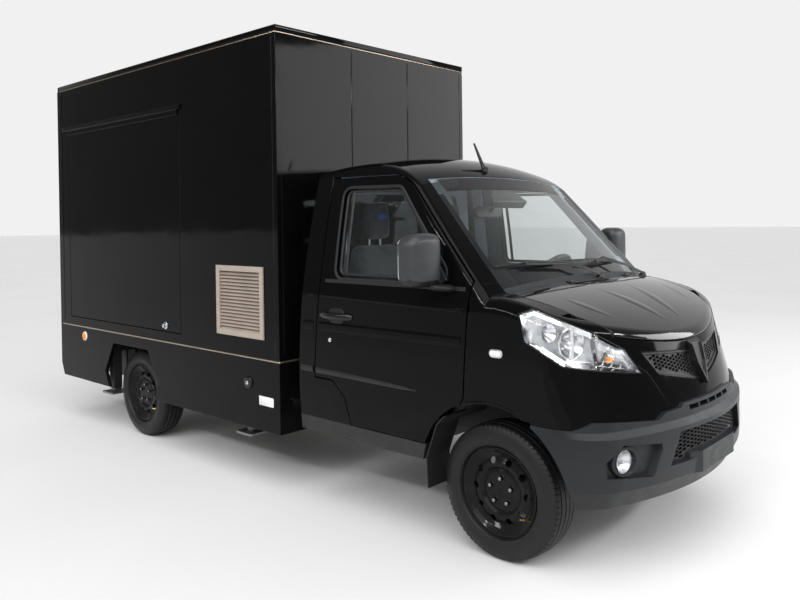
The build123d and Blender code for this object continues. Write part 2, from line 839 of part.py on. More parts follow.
with BuildPart() as front_bumper:
    add(bumper_solid(0))
    add(bumper_solid(bumper_thickness), mode=Mode.SUBTRACT)
    add(bumper_zone(0), mode=Mode.INTERSECT)
    add(wheel_wells.part, mode=Mode.SUBTRACT)
    add(fog_recess.part, mode=Mode.SUBTRACT)
    add(left_of(fog_recess.part), mode=Mode.SUBTRACT)
    add(fog_bezel_right.part)
    add(left_of(fog_bezel_right.part))
    with BuildSketch(cross_plane_at(300)):
        for side in (-1, 1):
            with Locations((side * fog_lamp_place[0], fog_lamp_place[1])):
                Circle(fog_lamp_radius)
        with Locations((0, 683)):
            with GridLocations(92, 1, 5, 1):
                Rectangle(80, 20)
    extrude(amount=600, mode=Mode.SUBTRACT)
    extrude(cross_outline(lower_grille_points, 0), amount=900, mode=Mode.SUBTRACT)
    add(plate_pad.part)
write(front_bumper.part, "front_bumper")

plate_pad_points = [(-262, 404), (-262, 496), (262, 496), (262, 404)]
lower_mesh_outline = cross_outline(lower_grille_points, -fit_gap) - cross_outline(plate_pad_points, fit_gap)
lower_mesh_face = mesh_face(lower_mesh_outline.face(), 36, 13)

with BuildPart() as lower_mesh:
    extrude(lower_mesh_face, amount=900)
    add(bumper_solid(26), mode=Mode.INTERSECT)
    add(bumper_solid(44), mode=Mode.SUBTRACT)
grille_pieces = [*grille_shield.part.solids(), *upper_mesh.part.solids(), *lower_mesh.part.solids()]
write(Compound(children=grille_pieces), "grilles")

with BuildPart() as fog_lamp_right:
    add(bumper_solid(20))
    add(bumper_solid(bumper_thickness - 5), mode=Mode.SUBTRACT)
    with BuildSketch(cross_plane_at(300)):
        with Locations(fog_lamp_place):
            Circle(fog_lamp_radius - 0.3)
    extrude(amount=600, mode=Mode.INTERSECT)
write(both_sides(fog_lamp_right.part), "fog_lamps")


# Cab fittings
with BuildPart() as mirror_right:
    with BuildSketch(side_plane_at(-842)):
        with Locations((-290, 1318)):
            RectangleRounded(90, 234, 35)
    extrude(amount=186)
    fillet(mirror_right.faces().sort_by(Axis.Y)[0].edges(), 25)
    with BuildSketch(side_plane_at(-764)):
        with Locations((-225, 1203)):
            Rectangle(90, 34)
    extrude(amount=90)
    add(side_section(0, -1400, 900), mode=Mode.SUBTRACT)
write(mirror_right.part, "mirror_right")
write(left_of(mirror_right.part), "mirror_left")

with BuildPart() as seat_right:
    with BuildSketch(side_plane_at(-95)):
        with BuildLine():
            cushion = Polyline(
                (-1120, 760.3), (-620, 760.3), (-600, 800), (-610, 880), (-640, 895), (-1010, 870), (-1085, 1380),
                (-1110, 1400), (-1165, 1395), (-1180, 1370), (-1120, 900), close=True,
            )
        make_face()
    extrude(amount=480)
    with BuildSketch(side_plane_at(-230)):
        with BuildLine():
            Polyline(
                (-1150, 1390), (-1125, 1390), (-1130, 1440), (-1090, 1450), (-1100, 1610), (-1125, 1625),
                (-1170, 1615), (-1185, 1450), (-1155, 1440), close=True,
            )
        make_face()
    extrude(amount=210)
write(both_sides(seat_right.part), "seats")

with BuildPart() as dashboard:
    with BuildSketch(side_plane):
        with BuildLine():
            Polyline(
                (-20.3, 860), (-20.3, 1130), (-75, 1186), (-300, 1150), (-360, 1090), (-330, 940), (-240, 860),
                close=True,
            )
        make_face()
    extrude(amount=728, both=True)
    with BuildSketch(Plane(origin=(front_axle_x - 300, 350, 1060), x_dir=(0, 1, 0), z_dir=(-0.8, 0, 0.6))):
        Circle(32)
    extrude(amount=128)
write(dashboard.part, "dashboard")

with BuildPart() as steering_wheel:
    wheel_plane = Plane(origin=(front_axle_x - 300, 350, 1060), x_dir=(0, 1, 0), z_dir=(-0.8, 0, 0.6)).offset(128.3)
    with BuildSketch(wheel_plane):
        Circle(45)
        with Locations((0, -40)):
            Rectangle(60, 330)
        Rectangle(340, 60)
        Circle(172, mode=Mode.INTERSECT)
    extrude(amount=22)
    with BuildSketch(Plane(wheel_plane.origin + wheel_plane.z_dir * 16, x_dir=(0, 1, 0), z_dir=(0.6, 0, 0.8))):
        with Locations((183, 0)):
            Circle(15)
    revolve(axis=Axis(wheel_plane.origin, wheel_plane.z_dir))
write(steering_wheel.part, "steering_wheel")

with BuildPart() as wipers:
    for y in (-330, 230):
        with BuildSketch(plan_plane(1150)):
            with Locations((30, y)):
                Circle(14)
        extrude(amount=66)
        with BuildSketch(plan_plane(1204)):
            with Locations((30, y + 225)):
                Rectangle(18, 470)
        extrude(amount=12)
    add(cab_skin.part, mode=Mode.SUBTRACT)
    add(nose_top_solid(-fit_gap), mode=Mode.SUBTRACT)
    add(cab_top_solid(-fit_gap), mode=Mode.SUBTRACT)
write(wipers.part, "wipers")

flap_thickness = 6
flap_radius = arch_radius - fit_gap - flap_thickness / 2


def arch_point(z):
    """Point of the mud flap's upper run, which lies against the wheel arch, at height z."""
    return (-sqrt(flap_radius**2 - (z - tyre_radius) ** 2), z)


with BuildPart() as mud_flap_right:
    with BuildSketch(side_plane_at(-642)):
        with BuildLine():
            seat = ThreePointArc(arch_point(612), arch_point(590), arch_point(565))
            drop = Line(seat @ 1, (-361, 400))
            Line(drop @ 1, (-353, 258))
        trace(line_width=flap_thickness)
    extrude(amount=170)
    add(slab(-420, -200, 900, 618, 700), mode=Mode.SUBTRACT)
write(both_sides(mud_flap_right.part), "mud_flaps")

# Chassis
with BuildPart() as chassis_rails:
    for side in (-1, 1):
        with BuildSketch(plan_plane(rail_bottom_z)):
            with Locations(((rail_front_x + rail_back_x) / 2, side * rail_mid_y)):
                Rectangle(rail_front_x - rail_back_x, rail_width)
        extrude(amount=rail_height)
        for x in (-wheelbase + 560, -wheelbase - 560):
            with BuildSketch(plan_plane(rail_bottom_z)):
                with Locations((x, side * (rail_mid_y + rail_width / 2 + 50))):
                    Rectangle(70, 100)
            extrude(amount=rail_height)
write(chassis_rails.part, "chassis_rails")

cross_member_places = (440, -480, -1600, -2200, -2700, -3700, -4060)
with BuildPart() as chassis_cross_members:
    for x in cross_member_places:
        add(slab(x - 40, x + 40, rail_mid_y - rail_width / 2, rail_bottom_z + 10, rail_bottom_z + 110))

floor_bottom_z = box_base_z - box_floor_thickness + 22
bearer_places = (-1460, leg_front_x, -2300, -2780, leg_rear_x, -4100)
with BuildPart() as floor_bearers:
    for x in bearer_places:
        add(slab(x - 30, x + 30, box_half_width - skirt_thickness, rail_bottom_z + rail_height, floor_bottom_z))
    for x in (leg_front_x, leg_rear_x):
        for side in (-1, 1):
            with BuildSketch(plan_plane(leg_sleeve_bottom_z)):
                with Locations((x, side * leg_y)):
                    Rectangle(leg_size + 14, leg_size + 14)
            extrude(amount=floor_bottom_z - leg_sleeve_bottom_z)
            with BuildSketch(plan_plane(leg_sleeve_bottom_z)):
                with Locations((x, side * leg_y)):
                    Rectangle(leg_size + 1, leg_size + 1)
            extrude(amount=floor_bottom_z - leg_sleeve_bottom_z, mode=Mode.SUBTRACT)

for x, end in ((leg_front_x, "front"), (leg_rear_x, "rear")):
    with BuildPart() as steady_leg:
        with BuildSketch(plan_plane(leg_foot_z)):
            with Locations((x, -leg_y)):
                RectangleRounded(leg_foot_size, leg_foot_size, 12)
        extrude(amount=12)
        with BuildSketch(plan_plane(leg_foot_z + 12)):
            with Locations((x, -leg_y)):
                Rectangle(leg_size, leg_size)
        extrude(amount=leg_top_z - leg_foot_z - 12)
    write(steady_leg.part, f"steady_leg_{end}_right")
    write(left_of(steady_leg.part), f"steady_leg_{end}_left")

with BuildPart() as engine_block:
    add(slab(-1100, -640, 240, 330, 700))
    add(slab(-1500, -1100, 130, 330, 430))
    add(slab(-900, -840, rail_mid_y - rail_width / 2 - 0.3, 470, 520))
write(engine_block.part, "engine_block")


with BuildPart() as fuel_tank:
    with BuildSketch(cross_plane_at(-2325)):
        with Locations((-600, 475)):
            RectangleRounded(340, 170, 30)
    extrude(amount=470)
write(fuel_tank.part, "fuel_tank")

with BuildPart() as bumper_beam:
    add(bumper_solid(bumper_thickness + 0.3))
    add(slab(rail_front_x, 900, 520, rail_bottom_z + 10, rail_bottom_z + 110), mode=Mode.INTERSECT)
cross_beams = Compound(
    children=[*chassis_cross_members.part.solids(), *floor_bearers.part.solids(), *bumper_beam.part.solids()]
)
write(cross_beams, "cross_beams")

with BuildPart() as front_suspension:
    add(slab(-60, 60, 400, 340, rail_bottom_z))
    for side in (-1, 1):
        with BuildSketch(cross_plane_at(-30)):
            with BuildLine():
                Polyline(
                    (side * 300, 340), (side * 300, 190), (side * 360, 175), (side * 645, 175), (side * 645, 205),
                    (side * 380, 215), (side * 380, 340), close=True,
                )
            make_face()
        extrude(amount=60)
        with BuildSketch(cross_plane_at(-25)):
            with Locations((side * 520, 412.5)):
                Rectangle(250, 25)
        extrude(amount=50)
        for z, height in ((205, 60), (340, 60)):
            with BuildSketch(plan_plane(z)):
                with Locations((0, side * kingpin_y)):
                    Circle(kingpin_radius)
            extrude(amount=height)
write(front_suspension.part, "front_suspension")

with BuildPart() as knuckle_right:
    with BuildSketch(plan_plane(210)):
        with Locations((0, -kingpin_y)):
            RectangleRounded(70, 50, 10)
    extrude(amount=185)
    with BuildSketch(side_plane_at(-kingpin_y)):
        with Locations((0, tyre_radius)):
            Circle(spindle_radius)
    extrude(amount=95)
    with BuildSketch(plan_plane(250)):
        with Locations((-75, -kingpin_y + 5)):
            Rectangle(110, 26)
    extrude(amount=24)
    with BuildSketch(plan_plane(200)):
        with Locations((0, -kingpin_y)):
            Circle(kingpin_radius + running_gap)
    extrude(amount=66, mode=Mode.SUBTRACT)
    with BuildSketch(plan_plane(339)):
        with Locations((0, -kingpin_y)):
            Circle(kingpin_radius + running_gap)
    extrude(amount=66, mode=Mode.SUBTRACT)
write(knuckle_right.part, "knuckle_right")
write(left_of(knuckle_right.part), "knuckle_left")

with BuildPart() as rear_axle:
    with BuildSketch(side_plane_at(640)):
        with Locations((-wheelbase, tyre_radius)):
            Circle(38)
    extrude(amount=1280)
    with BuildSketch(side_plane_at(715)):
        with Locations((-wheelbase, tyre_radius)):
            Circle(spindle_radius)
    extrude(amount=1430)
    with BuildSketch(cross_plane_at(-wheelbase)):
        with Locations((0, tyre_radius)):
            Circle(115)
    extrude(amount=90, both=True)
    for side in (-1, 1):
        with BuildSketch(plan_plane(tyre_radius)):
            with Locations((-wheelbase, side * 470)):
                Rectangle(80, 70)
        extrude(amount=41)
write(rear_axle.part, "rear_axle")

with BuildPart() as leaf_springs:
    for side in (-1, 1):
        with BuildSketch(side_plane_at(side * 470 + 30)):
            with BuildLine():
                low = ThreePointArc((-wheelbase - 570, 402), (-wheelbase, 345.3), (-wheelbase + 570, 402))
                front = Line(low @ 1, (-wheelbase + 570, 426))
                high = ThreePointArc(front @ 1, (-wheelbase, 369.3), (-wheelbase - 570, 426))
                Line(high @ 1, low @ 0)
            make_face()
            for x in (-560, 560):
                with Locations((-wheelbase + x, 418)):
                    Rectangle(46, 43.4)
        extrude(amount=60)
write(leaf_springs.part, "leaf_springs")

# Wheels
wheel_places = (
    # name, x of the axle, side
    ("front_right", 0, -1),
    ("front_left", 0, 1),
    ("rear_right", -wheelbase, -1),
    ("rear_left", -wheelbase, 1),
)
for name, axle_x, side in wheel_places:
    hub_plane = Plane(
        origin=(front_axle_x + axle_x, side * wheel_mid_y, tyre_radius), x_dir=(0, side, 0), z_dir=(1, 0, 0)
    )
    hub_axis = Axis(hub_plane.origin, (0, 1, 0))
    half_rim = rim_width / 2
    face_plane = Plane(origin=hub_plane.origin, x_dir=(1, 0, 0), z_dir=(0, side, 0))
    with BuildPart() as rim:
        with BuildSketch(hub_plane):
            with BuildLine():
                Polyline(
                    (-half_rim, rim_flange_radius), (-half_rim + 8, rim_flange_radius), (-half_rim + 8, rim_seat_radius),
                    (half_rim - 8, rim_seat_radius), (half_rim - 8, rim_flange_radius), (half_rim, rim_flange_radius),
                    (half_rim, 188), (half_rim - 14, 168), (50, 150), (62, 128), (58, 108), (46, 96), (52, 84), (54, 0),
                    (47, 0), (47, spindle_radius + running_gap), (-18, spindle_radius + running_gap), (-18, 62),
                    (-8, 62), (-8, 115), (36, 115), (36, 100), (48, 112), (54, 128), (40, 152), (28, 168),
                    (-half_rim + 14, 168), (-half_rim, 188), close=True,
                )
            make_face()
        revolve(axis=hub_axis)
        with BuildSketch(face_plane):
            with PolarLocations(136, 10):
                Circle(16)
        extrude(amount=90, mode=Mode.SUBTRACT)
    write(rim.part, f"wheel_{name}")
    with BuildPart() as tyre:
        bead = half_rim - 8.3
        half_tyre = tyre_width / 2
        with BuildSketch(hub_plane):
            with BuildLine():
                inner = Line((-bead, rim_seat_radius + 0.3), (bead, rim_seat_radius + 0.3))
                low = Line(inner @ 1, (bead, 200))
                wall = ThreePointArc(low @ 1, (half_tyre, 243), (half_tyre - 12, 287))
                shoulder = ThreePointArc(wall @ 1, (half_tyre - 16, 295), (half_tyre - 26, 299.5))
                tread = ThreePointArc(shoulder @ 1, (0, tyre_radius), (-half_tyre + 26, 299.5))
                shoulder2 = ThreePointArc(tread @ 1, (-half_tyre + 16, 295), (-half_tyre + 12, 287))
                wall2 = ThreePointArc(shoulder2 @ 1, (-half_tyre, 243), (-bead, 200))
                Line(wall2 @ 1, inner @ 0)
            make_face()
            with Locations(*[(y, tyre_radius) for y in (-48, -16, 16, 48)]):
                Rectangle(7, 16, mode=Mode.SUBTRACT)
        revolve(axis=hub_axis)
    write(tyre.part, f"tyre_{name}")

# Box body
with BuildPart() as box_floor:
    add(slab(box_back_x + box_wall, box_front_x - box_wall, box_half_width - box_wall, floor_bottom_z,
             floor_bottom_z + box_floor_thickness))
write(box_floor.part, "box_floor")

box_wall_top_z = box_top_z - box_wall
with BuildPart() as box_front_wall:
    add(slab(box_front_x - box_wall, box_front_x, box_half_width, box_base_z, box_wall_top_z))
write(box_front_wall.part, "box_front_wall")

with BuildPart() as box_rear_wall:
    add(slab(box_back_x, box_back_x + box_wall, box_half_width, box_base_z, box_wall_top_z))
    with BuildSketch(cross_plane_at(box_back_x)):
        with Locations((0, rear_door_bottom_z + rear_door_height / 2)):
            Rectangle(rear_door_width, rear_door_height)
    extrude(amount=box_wall, mode=Mode.SUBTRACT)
    for z in rear_hinge_heights:
        with BuildSketch(plan_plane(z - 60)):
            with Locations((rear_hinge_x, rear_hinge_y)):
                Circle(rear_pin_radius)
        extrude(amount=120)
        for low_z in (z - 60, z + 35):
            with BuildSketch(plan_plane(low_z)):
                with Locations((rear_hinge_x, rear_hinge_y)):
                    Circle(rear_sleeve_radius)
                with Locations((box_back_x - 4, rear_hinge_y + 25)):
                    Rectangle(8, 50)
            extrude(amount=25)
write(box_rear_wall.part, "box_rear_wall")

with BuildPart() as rear_door:
    with BuildSketch(cross_plane_at(box_back_x)):
        with Locations((0, rear_door_bottom_z + rear_door_height / 2)):
            Rectangle(rear_door_width - 2 * hatch_gap, rear_door_height - 2 * hatch_gap)
    extrude(amount=box_wall)
    for z in rear_hinge_heights:
        with BuildSketch(plan_plane(z - 33)):
            with Locations((rear_hinge_x, rear_hinge_y)):
                Circle(rear_sleeve_radius)
            with Locations((box_back_x - 6, rear_hinge_y - 33)):
                Rectangle(12, 54)
            with Locations((rear_hinge_x, rear_hinge_y)):
                Circle(rear_pin_radius + running_gap, mode=Mode.SUBTRACT)
        extrude(amount=66)
write(rear_door.part, "rear_door")

side_wall_mid_x = box_front_x - box_length / 2
side_wall_length = box_length - 2 * box_wall
hatch_mid = (hatch_front_x - hatch_width / 2, hatch_bottom_z + hatch_height / 2)
vent_mid = (vent_rear_x + vent_width / 2, vent_bottom_z + vent_height / 2)
with BuildPart() as box_left_wall:
    with BuildSketch(side_plane_at(box_half_width)):
        with Locations((side_wall_mid_x, (box_base_z + box_wall_top_z) / 2)):
            Rectangle(side_wall_length, box_wall_top_z - box_base_z)
    extrude(amount=box_wall)
write(box_left_wall.part, "box_left_wall")

with BuildPart() as box_right_wall:
    with BuildSketch(side_plane_at(-box_half_width + box_wall)):
        with Locations((side_wall_mid_x, (box_base_z + box_wall_top_z) / 2)):
            Rectangle(side_wall_length, box_wall_top_z - box_base_z)
        with Locations(hatch_mid):
            Rectangle(hatch_width, hatch_height, mode=Mode.SUBTRACT)
        with Locations(vent_mid):
            Rectangle(vent_width - 2 * vent_flange, vent_height - 2 * vent_flange, mode=Mode.SUBTRACT)
    extrude(amount=box_wall)
    with BuildSketch(cross_plane_at(hatch_front_x - hatch_width - 80)):
        with Locations((hatch_hinge_y, hatch_hinge_z)):
            Circle(hatch_bead_radius)
        with Locations((hatch_hinge_y, hatch_hinge_z + 8)):
            Rectangle(3, 12)
        with Locations((-box_half_width - 6.5, hatch_hinge_z + 18)):
            Rectangle(13, 12)
    extrude(amount=hatch_width + 110)
write(box_right_wall.part, "box_right_wall")

with BuildPart() as serving_hatch:
    with BuildSketch(side_plane_at(-box_half_width + box_wall)):
        with Locations(hatch_mid):
            Rectangle(hatch_width - 2 * hatch_gap, hatch_height - 2 * hatch_gap)
    extrude(amount=box_wall)
    with BuildSketch(cross_plane_at(hatch_front_x - hatch_width + hatch_gap)):
        with Locations((hatch_hinge_y, hatch_hinge_z)):
            Circle(hatch_socket_radius)
        with Locations((hatch_hinge_y + 4.25, hatch_hinge_z - 22)):
            Rectangle(8.5, 32)
        with Locations((hatch_hinge_y, hatch_hinge_z)):
            Circle(hatch_bead_radius + running_gap, mode=Mode.SUBTRACT)
        with BuildLine():
            Polyline(
                (hatch_hinge_y, hatch_hinge_z), (hatch_hinge_y + 8.8, hatch_hinge_z + 18),
                (hatch_hinge_y - 20, hatch_hinge_z + 20), (hatch_hinge_y - 20, hatch_hinge_z - 9.75), close=True,
            )
        make_face(mode=Mode.SUBTRACT)
    extrude(amount=hatch_width - 2 * hatch_gap)
write(serving_hatch.part, "serving_hatch")

with BuildPart() as vent_louvre:
    with BuildSketch(side_plane_at(-box_half_width)):
        with Locations(vent_mid):
            Rectangle(vent_width, vent_height)
            Rectangle(vent_width - 2 * vent_flange - 6, vent_height - 2 * vent_flange - 6, mode=Mode.SUBTRACT)
    extrude(amount=9)
    with BuildSketch(side_plane_at(-box_half_width + 34)):
        with Locations(vent_mid):
            Rectangle(vent_width - 2 * vent_flange - 0.6, vent_height - 2 * vent_flange - 0.6)
            Rectangle(vent_width - 2 * vent_flange - 6, vent_height - 2 * vent_flange - 6, mode=Mode.SUBTRACT)
    extrude(amount=34)
    slat_count = 17
    slat_pitch = (vent_height - 2 * vent_flange - 6) / slat_count
    with BuildSketch(cross_plane_at(vent_mid[0])):
        for index in range(slat_count):
            z = vent_bottom_z + vent_flange + 3 + (index + 0.5) * slat_pitch
            with Locations(Location((-box_half_width + 12, z), 40)):
                Rectangle(36, 2.5)
    extrude(amount=vent_width / 2 - vent_flange - 2, both=True)
write(vent_louvre.part, "vent_louvre")

with BuildPart() as box_roof:
    add(slab(box_back_x, box_front_x, box_half_width, box_wall_top_z, box_top_z))
    fillet(box_roof.edges().filter_by(Axis.Z), 12)
    fillet(box_roof.faces().sort_by(Axis.Z)[-1].edges(), 6)
write(box_roof.part, "box_roof")

with BuildPart() as skirt_right:
    with BuildSketch(side_plane_at(-box_half_width + skirt_thickness)):
        with BuildLine():
            Polyline(
                (box_front_x, box_base_z), (box_front_x, skirt_bottom_z), (-wheelbase + 320, skirt_bottom_z),
                (-wheelbase + 371, 432), (-wheelbase + 242, 650), (-wheelbase - 242, 650), (-wheelbase - 371, 432),
                (-wheelbase - 320, skirt_bottom_z), (box_back_x + 45, skirt_bottom_z), (box_back_x, 415),
                (box_back_x, box_base_z), close=True,
            )
        make_face()
    extrude(amount=skirt_thickness)
    with BuildSketch(plan_plane(skirt_bottom_z)):
        with BuildLine():
            Polyline(
                (box_front_x - skirt_thickness, -box_half_width), (box_front_x, -box_half_width), (box_front_x, -420),
                (box_front_x - skirt_thickness, -420), close=True,
            )
        make_face()
    extrude(amount=box_base_z - skirt_bottom_z)
write(both_sides(skirt_right.part), "side_skirts")

with BuildPart() as rear_bumper:
    add(slab(box_back_x, box_back_x + 20, box_half_width - skirt_thickness - 0.3, 430, box_base_z - 0.3))
    add(slab(box_back_x - 40, box_back_x, 790, 440, 560))
write(rear_bumper.part, "rear_bumper")

with BuildPart() as tail_lamps:
    with BuildSketch(cross_plane_at(box_back_x)):
        for side in (-1, 1):
            with Locations((side * 660, 640)):
                RectangleRounded(220, 90, 20)
    extrude(amount=-28)
write(tail_lamps.part, "tail_lamps")
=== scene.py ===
"""Looks of the food truck: finishes, lamps, trim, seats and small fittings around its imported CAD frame.

Lengths are metres in the row frame: +X forward, +Y to the vehicle's left, +Z up, origin on the ground.
"""

import json
import math

import bmesh
import bpy
from mathutils import Matrix, Vector
from mathutils.bvhtree import BVHTree


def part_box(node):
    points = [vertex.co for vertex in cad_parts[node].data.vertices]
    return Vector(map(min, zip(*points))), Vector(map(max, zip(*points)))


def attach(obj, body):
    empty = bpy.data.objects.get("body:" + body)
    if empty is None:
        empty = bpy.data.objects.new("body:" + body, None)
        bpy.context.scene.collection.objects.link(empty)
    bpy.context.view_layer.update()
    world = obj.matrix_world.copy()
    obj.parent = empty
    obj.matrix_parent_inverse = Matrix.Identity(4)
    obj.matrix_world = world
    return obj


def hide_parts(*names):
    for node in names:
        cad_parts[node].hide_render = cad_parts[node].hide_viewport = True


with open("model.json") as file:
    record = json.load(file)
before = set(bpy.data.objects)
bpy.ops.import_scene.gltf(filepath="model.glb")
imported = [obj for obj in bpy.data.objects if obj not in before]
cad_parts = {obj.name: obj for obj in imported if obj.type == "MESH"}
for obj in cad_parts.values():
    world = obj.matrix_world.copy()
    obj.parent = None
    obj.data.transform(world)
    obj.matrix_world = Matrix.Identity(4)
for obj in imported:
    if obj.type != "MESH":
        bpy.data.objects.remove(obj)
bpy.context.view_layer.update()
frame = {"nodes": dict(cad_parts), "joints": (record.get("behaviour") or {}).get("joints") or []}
nodes = frame["nodes"]

# Places taken from the frame
joint_at = {joint["name"]: Vector(joint["pos_m"]) for joint in frame["joints"] if "pos_m" in joint}
front_axle_x = joint_at["spin_front_right"].x
rear_axle_x = joint_at["spin_rear_right"].x
axle_z = joint_at["spin_front_right"].z
wheel_mid_y = joint_at["spin_front_left"].y
box_right_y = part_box("side_skirts")[0].y
box_front_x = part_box("box_front_wall")[1].x
box_back_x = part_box("box_right_wall")[0].x
SIDES = (("right", -1), ("left", 1))
DIAGONAL = math.sqrt(0.5)


# Materials


def socket(node, name, value):
    """Sets one input of a node."""
    node.inputs[name].default_value = value


def rgba(colour):
    """Colour with full alpha."""
    return (*colour, 1.0)


class Finish:
    """A procedural material: one Principled shader with noise in its colour, roughness and surface."""

    def __init__(self, name, colour, roughness, metallic=0.0, specular=0.5):
        self.material = bpy.data.materials.new(name)
        self.material.use_nodes = True
        self.material.diffuse_color = rgba(colour)
        self.tree = self.material.node_tree
        self.shader = self.tree.nodes["Principled BSDF"]
        self.colour = colour
        self.roughness = roughness
        socket(self.shader, "Base Color", rgba(colour))
        socket(self.shader, "Roughness", roughness)
        socket(self.shader, "Metallic", metallic)
        socket(self.shader, "Specular IOR Level", specular)
        self.texture_place = self.tree.nodes.new("ShaderNodeTexCoord")
        self.place = self.texture_place.outputs["Object"]

    def node(self, kind, **values):
        """Adds a node and sets its inputs by name."""
        made = self.tree.nodes.new(kind)
        for name, value in values.items():
            socket(made, name.replace("_", " "), value)
        return made

    def link(self, output, target):
        """Joins two sockets."""
        self.tree.links.new(output, target)

    def noise(self, scale, detail=3.0, stretch=(1.0, 1.0, 1.0)):
        """Noise over the object, stretched along an axis where a finish has a direction."""
        mapping = self.node("ShaderNodeMapping", Scale=stretch)
        self.link(self.place, mapping.inputs["Vector"])
        texture = self.node("ShaderNodeTexNoise", Scale=scale, Detail=detail)
        self.link(mapping.outputs["Vector"], texture.inputs["Vector"])
        return texture.outputs["Fac"]

    def spread(self, value, low, high, start=0.3, end=0.7):
        """Spreads part of a value's range over another range."""
        spread = self.node("ShaderNodeMapRange", From_Min=start, From_Max=end, To_Min=low, To_Max=high)
        self.link(value, spread.inputs["Value"])
        return spread.outputs["Result"]

    def mixed(self, factor, first, second):
        """Mix of two colours, each a socket or a plain colour."""
        mix = self.node("ShaderNodeMix")
        mix.data_type = "RGBA"
        for name, colour in (("A", first), ("B", second)):
            if isinstance(colour, bpy.types.NodeSocket):
                self.link(colour, mix.inputs[name])
            else:
                mix.inputs[name].default_value = rgba(colour)
        self.link(factor, mix.inputs["Factor"])
        self.colour_output = mix.outputs["Result"]
        self.link(self.colour_output, self.shader.inputs["Base Color"])
        return self

    def maths(self, operation, first, second):
        """Result of a sum on two sockets or numbers."""
        made = self.node("ShaderNodeMath")
        made.operation = operation
        for target, value in zip(made.inputs, (first, second)):
            if isinstance(value, bpy.types.NodeSocket):
                self.link(value, target)
            else:
                target.default_value = value
        return made.outputs["Value"]

    def mottle(self, scale, share, stretch=(1.0, 1.0, 1.0)):
        """Lighter and darker patches of the base colour."""
        dark = [c * (1 - share) for c in self.colour]
        light = [min(1.0, c * (1 + share)) for c in self.colour]
        return self.mixed(self.spread(self.noise(scale, 4.0, stretch), 0.0, 1.0), dark, light)

    def uneven(self, scale, share, stretch=(1.0, 1.0, 1.0)):
        """Uneven gloss."""
        low = max(0.02, self.roughness - share)
        high = min(1.0, self.roughness + share)
        self.link(self.spread(self.noise(scale, 4.0, stretch), low, high), self.shader.inputs["Roughness"])
        return self

    def grain(self, scale, depth, strength=0.3, stretch=(1.0, 1.0, 1.0), detail=2.0, round_edges=0.0):
        """Fine surface relief, and edges that read as rounded."""
        bump = self.node("ShaderNodeBump", Strength=strength, Distance=depth)
        self.link(self.noise(scale, detail, stretch), bump.inputs["Height"])
        if round_edges:
            bevel = self.node("ShaderNodeBevel", Radius=round_edges)
            bevel.samples = 4
            self.link(bevel.outputs["Normal"], bump.inputs["Normal"])
        self.link(bump.outputs["Normal"], self.shader.inputs["Normal"])
        return self

    def dusty(self, low_z, high_z, amount, dust=(0.16, 0.145, 0.125)):
        """Road dust that thins out upwards."""
        split = self.node("ShaderNodeSeparateXYZ")
        self.link(self.place, split.inputs["Vector"])
        fade = self.spread(split.outputs["Z"], amount, 0.0, low_z, high_z)
        patches = self.maths("MULTIPLY", fade, self.spread(self.noise(9.0, 6.0), 0.2, 1.0))
        return self.mixed(patches, self.colour_output, dust)

    def lined(self, lining, axis):
        """Another colour on faces that look into the cab: inwards in Y, forwards in X or down in Z."""
        normal = self.node("ShaderNodeSeparateXYZ")
        self.link(self.texture_place.outputs["Normal"], normal.inputs["Vector"])
        towards = normal.outputs[axis]
        if axis == "Y":
            place = self.node("ShaderNodeSeparateXYZ")
            self.link(self.place, place.inputs["Vector"])
            towards = self.maths("MULTIPLY", towards, self.maths("SIGN", place.outputs["Y"], 0.0))
        if axis != "X":
            towards = self.maths("MULTIPLY", towards, -1.0)
        inside = self.spread(towards, 0.0, 1.0, 0.3, 0.5)
        self.link(self.spread(inside, self.roughness, 0.6, 0.0, 1.0), self.shader.inputs["Roughness"])
        return self.mixed(inside, self.colour_output, lining)


def gloss_paint(name, colour, ripple=0.0, specular=0.1):
    """Deep gloss paint with a slight orange peel, and a slow ripple on large flat panels."""
    made = Finish(name, colour, 0.06, specular=specular)
    made.mottle(2.5, 0.12).uneven(5.0, 0.025)
    if ripple:
        return made.grain(2.2, ripple, 0.35, round_edges=0.004)
    return made.grain(420.0, 0.0003, 0.04, round_edges=0.004)


def moulded_plastic(name, colour, roughness, grain_scale=900.0, specular=0.4):
    """Moulded plastic with a fine leather-like grain."""
    made = Finish(name, colour, roughness, specular=specular)
    return made.mottle(7.0, 0.1).uneven(14.0, 0.06).grain(grain_scale, 0.0006, 0.35, round_edges=0.004)


def bare_metal(name, colour, roughness, stretch=(1.0, 1.0, 1.0)):
    """Metal with brush lines or a cast surface."""
    made = Finish(name, colour, roughness, metallic=1.0)
    return made.mottle(5.0, 0.14, stretch).uneven(40.0, 0.08, stretch).grain(160.0, 0.0004, 0.2, stretch)


def clear(name, colour, roughness=0.002, ior=1.45):
    """Clear glass or lens plastic with faint wiping marks, which lets the lamps through."""
    made = Finish(name, colour, roughness)
    socket(made.shader, "Transmission Weight", 1.0)
    socket(made.shader, "IOR", ior)
    made.mottle(3.0, 0.03)
    made.link(
        made.spread(made.noise(5.0, 4.0), roughness * 0.6, roughness * 1.4), made.shader.inputs["Roughness"],
    )
    passing = made.node("ShaderNodeBsdfTransparent", Color=rgba(colour))
    mix = made.node("ShaderNodeMixShader")
    path = made.node("ShaderNodeLightPath")
    made.link(path.outputs["Is Shadow Ray"], mix.inputs["Fac"])
    made.link(made.shader.outputs["BSDF"], mix.inputs[1])
    made.link(passing.outputs["BSDF"], mix.inputs[2])
    made.link(mix.outputs["Shader"], made.tree.nodes["Material Output"].inputs["Surface"])
    return made


